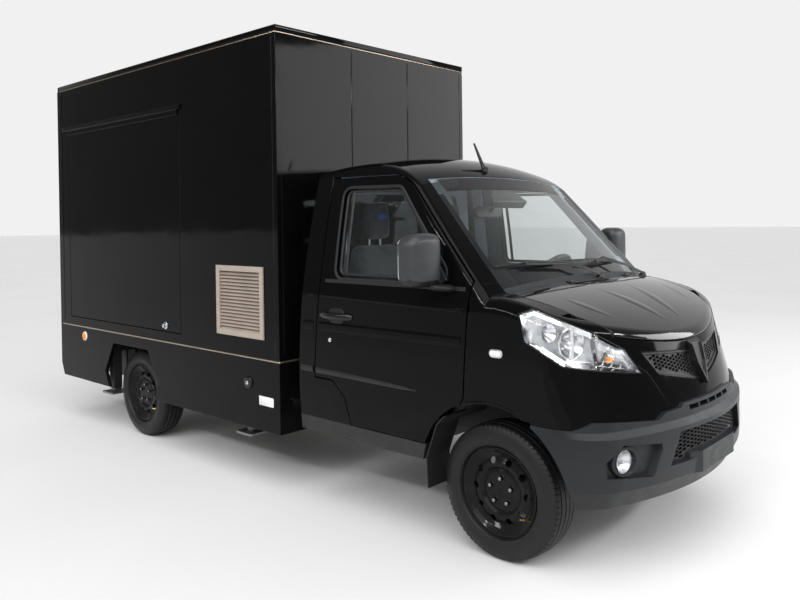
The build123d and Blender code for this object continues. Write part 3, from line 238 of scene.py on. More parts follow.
def woven(name, colour):
    """Flat-woven seat cloth."""
    made = Finish(name, colour, 0.85, specular=0.2)
    socket(made.shader, "Sheen Weight", 0.25)
    socket(made.shader, "Sheen Roughness", 0.5)
    made.mottle(60.0, 0.25)
    wave = made.node("ShaderNodeTexWave", Scale=260.0, Distortion=1.5, Detail=1.0)
    made.link(made.place, wave.inputs["Vector"])
    bump = made.node("ShaderNodeBump", Strength=0.35, Distance=0.0008)
    made.link(wave.outputs["Fac"], bump.inputs["Height"])
    made.link(bump.outputs["Normal"], made.shader.inputs["Normal"])
    return made


PALE_LINING = (0.36, 0.4, 0.46)
GREY_LINING = (0.07, 0.075, 0.085)
BLACK = (0.0026, 0.0026, 0.003)
black_paint = gloss_paint("black_paint", BLACK).dusty(0.25, 0.75, 0.04)
# The bonnet and its creases get their own copy of the black paint, lighter and more reflective than the rest:
# its lighter colour is a painted sheen on the upward-facing panel.
bonnet_lit_paint = gloss_paint("bonnet_lit_paint", (0.0045, 0.0043, 0.0042), specular=0.5)
side_paint = gloss_paint("side_paint", BLACK).dusty(0.25, 0.75, 0.04).lined(PALE_LINING, "Y")
door_paint = gloss_paint("door_paint", BLACK).dusty(0.25, 0.75, 0.04).lined(GREY_LINING, "Y")
roof_paint = gloss_paint("roof_paint", BLACK).lined(PALE_LINING, "Z")
back_paint = gloss_paint("back_paint", BLACK).lined(PALE_LINING, "X")
box_gloss = gloss_paint("box_gloss", BLACK, 0.004).dusty(0.25, 0.75, 0.03)
grey_plastic = moulded_plastic(
    "grey_plastic", (0.0105, 0.0118, 0.0138), 0.42, 900.0, 0.3,
).dusty(0.25, 0.6, 0.1)
scuttle_plastic = moulded_plastic("scuttle_plastic", (0.02, 0.021, 0.023), 0.5)
mirror_plastic = moulded_plastic("mirror_plastic", (0.028, 0.0295, 0.032), 0.38)
black_plastic = moulded_plastic("black_plastic", (0.008, 0.008, 0.009), 0.42)
gloss_black_plastic = moulded_plastic("gloss_black_plastic", (0.005, 0.005, 0.006), 0.18, 200.0)
chassis_steel = moulded_plastic("chassis_steel", (0.01, 0.01, 0.011), 0.5, 120.0).dusty(0.1, 0.8, 0.12)
wheel_paint = gloss_paint("wheel_paint", (0.007, 0.007, 0.008)).dusty(0.0, 0.6, 0.06)
tyre_rubber = moulded_plastic("tyre_rubber", (0.006, 0.006, 0.0064), 0.48, 500.0, 0.3).dusty(0.0, 0.6, 0.05)
seal_rubber = moulded_plastic("seal_rubber", (0.012, 0.012, 0.012), 0.5, 300.0, 0.3)
zinc_steel = bare_metal("zinc_steel", (0.28, 0.285, 0.3), 0.42)
cast_iron = bare_metal("cast_iron", (0.16, 0.16, 0.17), 0.6)
chrome = bare_metal("chrome", (0.92, 0.93, 0.95), 0.17)
lamp_silver = bare_metal("lamp_silver", (0.86, 0.87, 0.89), 0.34)
satin_metal = bare_metal("satin_metal", (0.62, 0.63, 0.65), 0.3)
brass = bare_metal("brass", (0.72, 0.52, 0.2), 0.3)
bronze_trim = bare_metal("bronze_trim", (0.46, 0.38, 0.3), 0.32, (1.0, 8.0, 8.0))
mirror_silver = bare_metal("mirror_silver", (0.9, 0.91, 0.92), 0.03)
cab_glass = clear("cab_glass", (0.88, 0.92, 0.91))
side_glass = clear("side_glass", (0.78, 0.82, 0.82))
lamp_clear = clear("lamp_clear", (0.97, 0.98, 1.0))
red_lens = clear("red_lens", (0.75, 0.03, 0.03), 0.1)
amber_bulb = moulded_plastic("amber_bulb", (0.9, 0.3, 0.03), 0.2, 200.0)
amber_plastic = moulded_plastic("amber_plastic", (0.85, 0.24, 0.02), 0.16, 300.0)
red_plastic = moulded_plastic("red_plastic", (0.4, 0.012, 0.012), 0.2, 300.0)
window_channel = moulded_plastic("window_channel", (0.01, 0.01, 0.011), 0.45, 600.0)
screen_border = moulded_plastic("screen_border", (0.008, 0.008, 0.009), 0.12, 300.0)
cream_plastic = moulded_plastic("cream_plastic", (0.36, 0.305, 0.26), 0.4, 300.0)
white_plastic = moulded_plastic("white_plastic", (0.75, 0.75, 0.74), 0.4, 600.0)
seat_cloth = woven("seat_cloth", (0.03, 0.032, 0.036))
blue_cloth = woven("blue_cloth", (0.02, 0.09, 0.35))
cab_trim = moulded_plastic("cab_trim", (0.06, 0.064, 0.072), 0.55)
floor_ply = moulded_plastic("floor_ply", (0.28, 0.2, 0.13), 0.5, 80.0)

NODE_FINISH = {
    black_paint: ["fenders", "front_panel"],
    bonnet_lit_paint: ["bonnet"],
    side_paint: ["body_sides"],
    door_paint: ["door_right", "door_left"],
    roof_paint: ["cab_roof"],
    back_paint: ["cab_back_wall"],
    box_gloss: ["box_front_wall", "box_left_wall", "box_right_wall", "box_rear_wall", "box_roof",
                "serving_hatch", "rear_door", "side_skirts"],
    grey_plastic: ["front_bumper"],
    scuttle_plastic: ["scuttle_panel"],
    mirror_plastic: ["mirror_right", "mirror_left"],
    black_plastic: ["grilles", "wipers", "steering_wheel", "fuel_tank"],
    chassis_steel: ["chassis_rails", "cross_beams", "front_suspension", "rear_axle", "leaf_springs",
                    "rear_bumper", "knuckle_right", "knuckle_left", "cab_floor", "bulkhead"],
    seal_rubber: ["mud_flaps"],
    cab_glass: ["windscreen", "back_window"],
    side_glass: ["door_glass_right", "door_glass_left"],
    lamp_clear: ["headlamps", "fog_lamps"],
    red_lens: ["tail_lamps"],
    seat_cloth: ["seats"],
    cab_trim: ["dashboard"],
    cream_plastic: ["vent_louvre"],
    cast_iron: ["engine_block"],
    floor_ply: ["box_floor"],
    wheel_paint: [],
    tyre_rubber: [],
    zinc_steel: [],
}
for side_name, _ in SIDES:
    for end_name in ("front", "rear"):
        NODE_FINISH[wheel_paint].append(f"wheel_{end_name}_{side_name}")
        NODE_FINISH[tyre_rubber].append(f"tyre_{end_name}_{side_name}")
        NODE_FINISH[zinc_steel].append(f"steady_leg_{end_name}_{side_name}")

for finish, names in NODE_FINISH.items():
    for name in names:
        mesh = nodes[name].data
        mesh.materials.clear()
        mesh.materials.append(finish.material)


# Mesh tools


def at(x, y, z):
    """Point in the row frame, with x measured from the front axle."""
    return Vector((front_axle_x + x, y, z))


def finished(name, bm, finish, body, angle=40.0):
    """Piece made of a bmesh, smooth except along sharp edges, with its finish, that rides on a body."""
    bmesh.ops.recalc_face_normals(bm, faces=bm.faces[:])
    mesh = bpy.data.meshes.new(name)
    bm.to_mesh(mesh)
    bm.free()
    mesh.shade_smooth()
    mesh.set_sharp_from_angle(angle=math.radians(angle))
    mesh.materials.append(finish.material)
    obj = bpy.data.objects.new(name, mesh)
    bpy.context.scene.collection.objects.link(obj)
    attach(obj, body)
    return obj


def frame_of(place, axis, across=(0.31, 0.59, 0.74)):
    """Matrix whose Z runs along an axis and whose X runs across it."""
    z = Vector(axis).normalized()
    x = (Vector(across) - z * z.dot(Vector(across))).normalized()
    basis = Matrix((x, z.cross(x), z)).transposed().to_4x4()
    return Matrix.Translation(place) @ basis


def turn(bm, profile, place, axis, steps=40):
    """Adds a skin turned about an axis through a place; the profile lists (radius, way along the axis)."""
    base = frame_of(place, axis)
    rings = []
    for radius, along in profile:
        count = steps if radius > 0 else 1
        angles = [2 * math.pi * i / count for i in range(count)]
        rings.append(
            [bm.verts.new(base @ Vector((radius * math.cos(a), radius * math.sin(a), along))) for a in angles]
        )
    for low, high in zip(rings, rings[1:]):
        for i in range(steps):
            j = i + 1
            corners = (low[i % len(low)], low[j % len(low)], high[j % len(high)], high[i % len(high)])
            corners = list(dict.fromkeys(corners))
            if len(corners) > 2:
                bm.faces.new(corners)


def plate(bm, outline, thickness, base, edge=0.0):
    """Adds a plate with an outline in the base's X and Y, its thickness along Z, and rounded edges."""
    part = bmesh.new()
    face = part.faces.new([part.verts.new((x, y, 0.0)) for x, y in outline])
    grown = bmesh.ops.extrude_face_region(part, geom=[face])["geom"]
    raised = [v for v in grown if isinstance(v, bmesh.types.BMVert)]
    bmesh.ops.translate(part, vec=(0.0, 0.0, thickness), verts=raised)
    if edge:
        sharp = [e for e in part.edges if e.calc_face_angle(0.0) > 0.7]
        bmesh.ops.bevel(
            part, geom=sharp, offset=edge, segments=3, profile=0.6, affect="EDGES", clamp_overlap=True,
        )
    part.transform(base)
    mesh = bpy.data.meshes.new("plate")
    part.to_mesh(mesh)
    part.free()
    bm.from_mesh(mesh)
    bpy.data.meshes.remove(mesh)


def join(bm, one, two, closed=True):
    """Adds the faces between two rings, or two open rows, of points."""
    for j in range(len(one) if closed else len(one) - 1):
        k = (j + 1) % len(one)
        bm.faces.new((one[j], one[k], two[k], two[j]))


def sweep(bm, path, normals, profile, closed=False):
    """Carries a closed profile along a path: its first number runs across, its second along the normals."""
    rings = []
    count = len(path)
    for i, point in enumerate(path):
        before = path[i - 1] if closed or i else point * 2 - path[1]
        after = path[(i + 1) % count] if closed or i + 1 < count else point * 2 - path[i - 1]
        arriving = (point - before).normalized()
        along = (arriving + (after - point).normalized()).normalized()
        normal = normals[i] if isinstance(normals, list) else normals
        across = along.cross(normal).normalized() / max(0.5, along.dot(arriving))
        up = across.normalized().cross(along)
        rings.append([bm.verts.new(point + across * a + up * b) for a, b in profile])
    for one, two in zip(rings, rings[1:] + rings[:1] if closed else rings[1:]):
        join(bm, one, two)
    if not closed:
        bm.faces.new(rings[0])
        bm.faces.new(rings[-1])


def turned(name, profile, place, axis, finish, body, steps=40, angle=40.0):
    """Piece that is one turned skin."""
    bm = bmesh.new()
    turn(bm, profile, place, axis, steps)
    return finished(name, bm, finish, body, angle)


def plated(name, outline, thickness, base, edge, finish, body):
    """Piece that is one plate."""
    bm = bmesh.new()
    plate(bm, outline, thickness, base, edge)
    return finished(name, bm, finish, body)


def thicken(piece, thickness):
    """Gives a lens its thickness, inwards from its outer face."""
    modifier = piece.modifiers.new("thickness", "SOLIDIFY")
    modifier.thickness = thickness
    modifier.offset = -1.0


def dome(width, height, base=-0.001, steps=6):
    """Profile of a strip with a rounded back, whose foot lies a little under the surface."""
    angles = [math.pi * i / steps for i in range(steps + 1)]
    return [
        (width / 2, base), *[(width / 2 * math.cos(a), height * math.sin(a)) for a in angles],
        (-width / 2, base),
    ]


def ring_profile(radius, steps=10):
    """Round profile of a rod."""
    angles = [2 * math.pi * i / steps for i in range(steps)]
    return [(radius * math.cos(a), radius * math.sin(a)) for a in angles]


def round_corners(points, radius, steps=6):
    """Outline with each corner rounded."""
    rounded = []
    count = len(points)
    for i in range(count):
        corner = Vector(points[i])
        one = (Vector(points[i - 1]) - corner).normalized()
        two = (Vector(points[(i + 1) % count]) - corner).normalized()
        half = one.angle(two) / 2
        middle = corner + (one + two).normalized() * (radius / math.sin(half))
        start = corner + one * (radius / math.tan(half)) - middle
        end = corner + two * (radius / math.tan(half)) - middle
        sweep_angle = start.angle_signed(end)
        for k in range(steps + 1):
            spoke = start.copy()
            spoke.rotate(Matrix.Rotation(-sweep_angle * k / steps, 2))
            rounded.append(tuple(middle + spoke))
    return rounded


def inset(points, distance):
    """Convex outline, listed against the clock or with it, moved inwards by a distance."""
    count = len(points)
    area = sum(points[i - 1][0] * points[i][1] - points[i][0] * points[i - 1][1] for i in range(count))
    hand = 1.0 if area > 0 else -1.0
    moved = []
    for i in range(count):
        corner = Vector(points[i])
        one = (corner - Vector(points[i - 1])).normalized()
        two = (Vector(points[(i + 1) % count]) - corner).normalized()
        normal_one = Vector((-one.y, one.x)) * hand
        normal_two = Vector((-two.y, two.x)) * hand
        moved.append(
            tuple(corner + (normal_one + normal_two) * (distance / (1 + normal_one.dot(normal_two))))
        )
    return moved


def dense(points, step, closed=True):
    """Outline with extra points along its sides."""
    filled = []
    ends = list(zip(points, points[1:] + points[:1])) if closed else list(zip(points, points[1:]))
    for one, two in ends:
        one, two = Vector(one), Vector(two)
        parts = max(1, round((two - one).length / step))
        filled += [tuple(one.lerp(two, i / parts)) for i in range(parts)]
    return filled if closed else filled + [tuple(points[-1])]


def rectangle(width, height, radius, steps=6):
    """Rounded rectangle about the origin."""
    corners = [
        (-width / 2, -height / 2), (width / 2, -height / 2), (width / 2, height / 2),
        (-width / 2, height / 2),
    ]
    return round_corners(corners, radius, steps)


trees = {}


def tree(name):
    """Search tree of a CAD node's surface."""
    if name not in trees:
        mesh = nodes[name].data
        trees[name] = BVHTree.FromPolygons([v.co for v in mesh.vertices], [p.vertices for p in mesh.polygons])
    return trees[name]


def meet(names, origin, direction):
    """First point where a ray meets one of some CAD nodes, and the surface's normal there."""
    hits = [tree(name).ray_cast(Vector(origin), Vector(direction)) for name in names]
    found = [hit for hit in hits if hit[0] is not None]
    if not found:
        raise ValueError(f"no surface of {names} at {tuple(origin)}")
    point, normal, _, _ = min(found, key=lambda hit: hit[3])
    return point, normal


def beside(names, x, z, side):
    """Outer point and normal of a side of the vehicle at a height, with x from the front axle."""
    return meet(names, at(x, side * 2.0, z), (0.0, -side, 0.0))


def strip_on(bm, names, places, side, profile, closed=False):
    """Adds a strip that follows the vehicle's side through (x, z) places."""
    found = [beside(names, x, z, side) for x, z in places]
    sweep(bm, [point for point, _ in found], [normal for _, normal in found], profile, closed)


# Wheels


TREAD_STEPS = 72
TREAD_HALF = [
    # way out from the middle of the tyre, radius, depth of the shoulder notches
    (0.0125, 0.3039, 0.0), (0.013, 0.296, 0.0), (0.019, 0.296, 0.0), (0.0195, 0.3037, 0.0),
    (0.0445, 0.3021, 0.0), (0.045, 0.2942, 0.0), (0.051, 0.294, 0.0), (0.0515, 0.3013, 0.0),
    (0.06, 0.3003, 0.0015), (0.0665, 0.2993, 0.003), (0.0725, 0.2972, 0.0042), (0.077, 0.2935, 0.0042),
    (0.0805, 0.287, 0.003), (0.0832, 0.279, 0.0), (0.0846, 0.2765, 0.0), (0.0852, 0.2752, 0.0),
    (0.088, 0.266, 0.0),
    (0.0905, 0.256, 0.0), (0.0922, 0.246, 0.0), (0.0922, 0.24, 0.0), (0.0908, 0.229, 0.0),
    (0.0888, 0.221, 0.0),
    (0.0872, 0.2175, 0.0), (0.0876, 0.2165, 0.0), (0.089, 0.213, 0.0), (0.0888, 0.2095, 0.0),
    (0.086, 0.2068, 0.0),
    (0.078, 0.2042, 0.0), (0.0668, 0.2005, 0.0), (0.0668, 0.1784, 0.0),
]
NUT_CIRCLE = 0.057
PLATE_OUT = 0.054
VALVE_ANGLE = -0.7


def build_tyre(end_name, side_name, hub, side):
    """Tyre with four tread grooves, notched shoulders and a ribbed sidewall, in place of the plain ring."""
    profile = [(-a, r, n) for a, r, n in reversed(TREAD_HALF)] + TREAD_HALF
    pitch = 2 * math.pi / TREAD_STEPS
    columns = []
    for i in range(TREAD_STEPS):
        columns += [(i * pitch, 0), (i * pitch + 0.004, 1), (i * pitch + 0.028, 1), (i * pitch + 0.032, 0)]
    bm = bmesh.new()
    rings = []
    for angle, notched in columns:
        radial = Vector((math.cos(angle), 0.0, math.sin(angle)))
        outward = Vector((0.0, side, 0.0))
        rings.append([bm.verts.new(hub + outward * a + radial * (r - n * notched)) for a, r, n in profile])
    for one, two in zip(rings, rings[1:] + rings[:1]):
        join(bm, one, two)
    name = f"{end_name}_{side_name}"
    tyre = finished(f"tread_tyre_{name}", bm, tyre_rubber, f"wheel_{name}_body", 30.0)
    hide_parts(f"tyre_{name}")


def build_wheel_fittings(end_name, side_name, hub, side):
    """Five wheel nuts with bright stud ends, their seats, and a tyre valve."""
    outward = Vector((0.0, side, 0.0))
    body = f"wheel_{end_name}_{side_name}_body"
    nuts, studs = bmesh.new(), bmesh.new()
    for i in range(5):
        angle = 2 * math.pi * i / 5 + math.pi / 2
        spoke = Vector((math.cos(angle), 0.0, math.sin(angle)))
        place = hub + spoke * NUT_CIRCLE + outward * (PLATE_OUT - 0.003)
        turn(
            nuts, [(0.0, 0.001), (0.0185, 0.001), (0.0185, 0.0035), (0.0165, 0.0055), (0.0135, 0.0045)],
            place, outward, 32,
        )
        hexagon = [(0.011 * math.cos(math.pi * k / 3), 0.011 * math.sin(math.pi * k / 3)) for k in range(6)]
        plate(nuts, hexagon, 0.013, frame_of(place + outward * 0.003, outward), 0.0015)
        turn(studs, [(0.0078, 0.014), (0.0078, 0.0175), (0.006, 0.019), (0.0, 0.0195)], place, outward, 20)
    finished(f"wheel_nuts_{end_name}_{side_name}", nuts, gloss_black_plastic, body)
    finished(f"wheel_studs_{end_name}_{side_name}", studs, zinc_steel, body)
    radial = Vector((math.cos(VALVE_ANGLE), 0.0, math.sin(VALVE_ANGLE)))
    stem = [(0.0055, -0.012), (0.0055, 0.006), (0.004, 0.008), (0.004, 0.024), (0.003, 0.026), (0.0, 0.026)]
    place = hub + radial * 0.158 + outward * 0.052
    axis = outward * 0.9 - radial * 0.4
    turned(f"tyre_valve_{end_name}_{side_name}", stem, place, axis, brass, body, 16)


for end_name, axle_x in (("front", front_axle_x), ("rear", rear_axle_x)):
    for side_name, side in SIDES:
        hub_place = Vector((axle_x, side * wheel_mid_y, axle_z))
        build_tyre(end_name, side_name, hub_place, side)
        build_wheel_fittings(end_name, side_name, hub_place, side)


# Lamps


LAMP_OUTLINE = [
    (-0.462, 1.112), (-0.447, 0.996), (-0.311, 0.905), (0.055, 0.853), (-0.021, 0.96), (-0.163, 1.035),
    (-0.4, 1.135),
]
LAMP_BACK = 0.655
FOG_PLACE = (0.64, 0.524)
REPEATER_PLACE = (0.044, 0.933)
MAIN_BEAM_PLACE = (-0.254, 0.99)
SIDE_LAMP_PLACE = (-0.345, 1.035)
TURN_LAMP_PLACE = (-0.106, 0.921)


def build_headlamp(side_name, side):
    """Headlamp: clear lens, seal, bezel, silver housing, three reflectors, bulb shield and amber bulb."""
    across = Vector((DIAGONAL, -side * DIAGONAL, 0.0))
    outward = Vector((DIAGONAL, side * DIAGONAL, 0.0))

    def inside(u, z, depth):
        """Point a depth behind the lens at a place of the lamp's outline."""
        origin = at(0.0, 0.0, z) + across * u + outward * 1.6
        return meet(["headlamps"], origin, -outward)[0] - outward * depth

    def backed(u, z, n):
        """Point of the lamp's inside, n out from the vehicle's middle along the corner's diagonal."""
        return at(0.0, 0.0, z) + across * u + outward * n

    source = nodes["headlamps"].data
    lens = bmesh.new()
    corners = {}
    for polygon in source.polygons:
        if polygon.normal.dot(outward) > 0.3 and polygon.center.y * side > 0:
            for index in polygon.vertices:
                if index not in corners:
                    corners[index] = lens.verts.new(source.vertices[index].co)
            lens.faces.new([corners[index] for index in polygon.vertices])
    bmesh.ops.remove_doubles(lens, verts=lens.verts[:], dist=0.00002)
    lens_piece = finished(f"headlamp_lens_{side_name}", lens, lamp_clear, "truck", 60.0)
    thicken(lens_piece, 0.0025)
    if side < 0:
        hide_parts("headlamps")

    edge = dense(inset(LAMP_OUTLINE, 0.003), 0.012)
    housing = bmesh.new()
    front = [housing.verts.new(inside(u, z, 0.004)) for u, z in edge]
    back = [
        housing.verts.new(backed(-0.22 + (u + 0.22) * 0.93, 0.98 + (z - 0.98) * 0.9, LAMP_BACK))
        for u, z in edge
    ]
    join(housing, front, back)
    housing.faces.new(back)
    finished(f"headlamp_housing_{side_name}", housing, lamp_silver, "truck", 30.0)

    bezel = bmesh.new()
    wide_outline, narrow_outline = inset(LAMP_OUTLINE, 0.003), inset(LAMP_OUTLINE, 0.026)
    rim_outer, rim_inner = [], []
    for i in range(len(LAMP_OUTLINE)):
        j = (i + 1) % len(LAMP_OUTLINE)
        parts = max(2, round((Vector(wide_outline[i]) - Vector(wide_outline[j])).length / 0.02))
        for k in range(parts):
            wide = Vector(wide_outline[i]).lerp(Vector(wide_outline[j]), k / parts)
            narrow = Vector(narrow_outline[i]).lerp(Vector(narrow_outline[j]), k / parts)
            rim_outer.append(bezel.verts.new(inside(*wide, 0.012)))
            rim_inner.append(bezel.verts.new(inside(*narrow, 0.026)))
    join(bezel, rim_outer, rim_inner)
    finished(f"headlamp_bezel_{side_name}", bezel, chrome, "truck", 30.0)

    seal = bmesh.new()
    found = [inside(u, z, -0.0002) for u, z in dense(inset(LAMP_OUTLINE, 0.0025), 0.012)]
    sweep(seal, found, outward, dome(0.005, 0.0014), True)
    finished(f"headlamp_seal_{side_name}", seal, seal_rubber, "truck")

    forward = (outward * 0.9 + across * 0.42).normalized()
    bowls = bmesh.new()
    main_place = inside(*MAIN_BEAM_PLACE, 0.05)
    bowl = [(0.011 + 0.051 * k / 8, -0.05 + 0.05 * ((0.011 + 0.051 * k / 8) / 0.062) ** 2) for k in range(9)]
    turn(bowls, [*bowl, (0.066, 0.002), (0.07, 0.0), (0.072, -0.01)], main_place, forward, 48)
    side_place = inside(*SIDE_LAMP_PLACE, 0.05)
    turn(bowls, [(r * 0.62, a * 0.62) for r, a in [*bowl, (0.068, 0.0)]], side_place, forward, 40)
    turn_place = inside(*TURN_LAMP_PLACE, 0.028)
    turn(
        bowls, [(r * 0.55, a * 0.7) for r, a in [*bowl, (0.067, 0.001), (0.07, -0.008)]], turn_place,
        forward, 40,
    )
    finished(f"headlamp_reflectors_{side_name}", bowls, chrome, "truck", 30.0)
    bulbs = bmesh.new()
    turn(
        bulbs, [(0.009, -0.045), (0.009, -0.012), (0.0085, -0.006), (0.005, -0.002), (0.0, -0.001)],
        main_place, forward, 24,
    )
    turn(
        bulbs, [(0.015, -0.02), (0.0165, -0.014), (0.0165, 0.002), (0.014, 0.005), (0.0, 0.006)],
        main_place, forward, 24,
    )
    bar = [main_place + Vector((0.0, 0.0, z)) + outward * 0.004 for z in (-0.06, -0.03, 0.0, 0.03, 0.06)]
    sweep(bulbs, bar, outward, dome(0.02, 0.01, -0.006))
    finished(f"headlamp_shield_{side_name}", bulbs, lamp_silver, "truck")
    bulb = [(0.007, -0.03), (0.008, -0.016), (0.007, -0.009), (0.0045, -0.004), (0.0, -0.0025)]
    turned(f"headlamp_amber_{side_name}", bulb, turn_place, forward, amber_bulb, "truck", 24)


def build_fog_lamp(side_name, side):
    """Fog lamp: a clear domed lens over a satin bowl and bulb, in the bumper's round hole."""
    start = (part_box("fog_lamps")[1].x + 0.3, side * FOG_PLACE[0], FOG_PLACE[1])
    place, normal = meet(["fog_lamps"], start, (-1.0, 0.0, 0.0))
    axis = (normal + Vector((1.0, 0.0, 0.0))).normalized()
    deep = place - axis * 0.004
    bowl = [
        (0.0, -0.026), (0.012, -0.025), (0.026, -0.019), (0.038, -0.006), (0.043, 0.0), (0.0475, 0.0),
        (0.049, -0.006), (0.049, -0.03),
    ]
    turned(f"fog_reflector_{side_name}", bowl, deep, axis, satin_metal, "truck", 40, 30.0)
    domed = [(0.0445, -0.003), (0.0445, 0.001), (0.034, 0.0055), (0.018, 0.0085), (0.0, 0.0095)]
    near = place - axis * 0.002
    lens_piece = turned(
        f"fog_lens_{side_name}", domed, near, axis, lamp_clear, "truck", 40, 60.0,
    )
    thicken(lens_piece, 0.002)
    bulb = [(0.006, -0.026), (0.006, -0.01), (0.004, -0.004), (0.0, -0.003)]
    turned(f"fog_bulb_{side_name}", bulb, deep, axis, satin_metal, "truck", 20)
    if side < 0:
        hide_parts("fog_lamps")


def build_repeater(side_name, side):
    """Oval side repeater on the fender."""
    place, normal = beside(["fenders"], *REPEATER_PLACE, side)
    base = frame_of(place - normal * 0.001, normal, (1.0, 0.0, 0.0))
    rim, lens = rectangle(0.07, 0.036, 0.0175, 8), rectangle(0.056, 0.024, 0.0115, 8)
    plated(f"repeater_rim_{side_name}", rim, 0.005, base, 0.0015, satin_metal, "truck")
    plated(f"repeater_lens_{side_name}", lens, 0.0105, base, 0.003, white_plastic, "truck")


for side_name, side in SIDES:
    build_headlamp(side_name, side)
    build_fog_lamp(side_name, side)
    build_repeater(side_name, side)


# Doors and cab sides


WINDOW = [(-0.985, 1.222), (-0.205, 1.222), (-0.592, 1.676), (-0.988, 1.682)]
WINDOW_RADIUS = 0.045
# Middle of the flat dark plate that paints the shade of the door handle's recess.
RECESS_SHADE_PLACE = (-0.965, 1.02)
LOCK_PLACE = (-1.012, 0.891)
HANDLE_Z = 1.018
ARCH_RADIUS = 0.408
# Height under which the mirror housing is drawn in darker plastic, as painted shade on its underside.
MIRROR_SHADE_Z = 1.246
QUARTER_MOULDING_Z = 0.7225


def build_door(side_name, side):
    """Window seal, channel and post, waist strip, handle, lock, creases and moulding of a cab door."""
    door = [f"door_{side_name}"]
    body = f"door_{side_name}_body"
    outline = round_corners(WINDOW, WINDOW_RADIUS)
    seal = bmesh.new()
    strip_on(seal, door, dense(inset(outline, -0.009), 0.03), side, dome(0.017, 0.004), True)
    finished(f"window_seal_{side_name}", seal, seal_rubber, body)
    channel = bmesh.new()
    glass_points = [
        beside([f"door_glass_{side_name}"], x, z, side) for x, z in dense(inset(outline, 0.011), 0.03)
    ]
    sweep(
        channel, [p + n * 0.001 for p, n in glass_points], [n for _, n in glass_points], dome(0.018, 0.007),
        True,
    )
    finished(f"window_channel_{side_name}", channel, window_channel, body)
    post = bmesh.new()
    post_points = [
        beside([f"door_glass_{side_name}"], x, z, side)
        for x, z in dense([(-0.93, 1.236), (-0.934, 1.668)], 0.04, False)
    ]
    sweep(post, [p for p, _ in post_points], [n for _, n in post_points], dome(0.02, 0.008))
    finished(f"window_post_{side_name}", post, window_channel, body)
    waist = bmesh.new()
    strip_on(waist, door, dense([(-1.06, 1.2), (-0.13, 1.2)], 0.05, False), side, dome(0.02, 0.006))
    finished(f"waist_strip_{side_name}", waist, seal_rubber, body)

    # A flat dark plate lies where the handle's recess is. The recess is not cut into the door, and the
    # plate's darkness is its painted shade.
    place, normal = beside(door, *RECESS_SHADE_PLACE, side)
    base = frame_of(place - normal * 0.001, normal, (1.0, 0.0, 0.0))
    recess_shade = rectangle(0.12, 0.078, 0.036, 8)
    plated(f"handle_recess_shade_{side_name}", recess_shade, 0.003, base, 0.0012, black_plastic, body)
    grip = bmesh.new()
    handle = [
        (-1.085, 0.006), (-1.06, 0.014), (-1.02, 0.026), (-0.965, 0.031), (-0.91, 0.026), (-0.875, 0.015),
        (-0.853, 0.006),
    ]
    points = [beside(door, x, HANDLE_Z, side) for x, _ in handle]
    sweep(grip, [p + n * out for (p, n), (_, out) in zip(points, handle)], [n for _, n in points],
          [(0.017 * math.cos(a), 0.008 * math.sin(a)) for a in [2 * math.pi * k / 14 for k in range(14)]])
    for x in (-1.078, -0.858):
        foot, foot_normal = beside(door, x, HANDLE_Z, side)
        turn(
            grip, [(0.0, -0.002), (0.015, -0.002), (0.015, 0.005), (0.011, 0.01), (0.0, 0.011)], foot,
            foot_normal, 24,
        )
    grip_piece = finished(f"door_handle_{side_name}", grip, gloss_black_plastic, body)
    grip_piece.modifiers.new("smooth", "SUBSURF").levels = 1
    place, normal = beside(door, *LOCK_PLACE, side)
    barrel = [
        (0.0, -0.001), (0.0115, -0.001), (0.0115, 0.003), (0.0095, 0.0045), (0.005, 0.0045), (0.004, 0.003),
        (0.0, 0.003),
    ]
    turned(f"door_lock_{side_name}", barrel, place, normal, satin_metal, body, 28)

    moulding = bmesh.new()
    tail = [(-1.12, 0.7215), (-1.0, 0.7205), (-0.8, 0.717), (-0.62, 0.7125), (-0.5, 0.7095), (-0.41, 0.7065)]
    found = [beside(door, x, z, side) for x, z in tail]
    heights = (0.036, 0.034, 0.029, 0.024, 0.018, 0.004)
    tapered(moulding, found, heights)
    finished(f"door_moulding_{side_name}", moulding, black_plastic, body)
    crease = bmesh.new()
    strip_on(crease, door, dense([(-1.095, 1.122), (-0.14, 1.104)], 0.05, False), side, dome(0.024, 0.003))
    strip_on(crease, door, dense([(-1.1, 0.958), (-0.15, 0.962)], 0.05, False), side, dome(0.05, 0.0022))
    finished(f"door_crease_{side_name}", crease, black_paint, body, 60.0)


def tapered(bm, found, heights):
    """Adds a moulding along surface points whose height changes from point to point."""
    rings = []
    for (point, normal), height in zip(found, heights):
        up = Vector((0.0, 0.0, 1.0))
        up = (up - normal * up.dot(normal)).normalized()
        shape = ((-0.5, -0.001), (-0.44, 0.005), (-0.2, 0.0085), (0.25, 0.0095), (0.46, 0.006), (0.5, -0.001))
        lift = normal * (0.35 + 0.65 * height / 0.036)
        rings.append([bm.verts.new(point + up * (height * a) + lift * b) for a, b in shape])
    for one, two in zip(rings, rings[1:]):
        join(bm, one, two, False)
    bm.faces.new(rings[0])
    bm.faces.new(rings[-1])


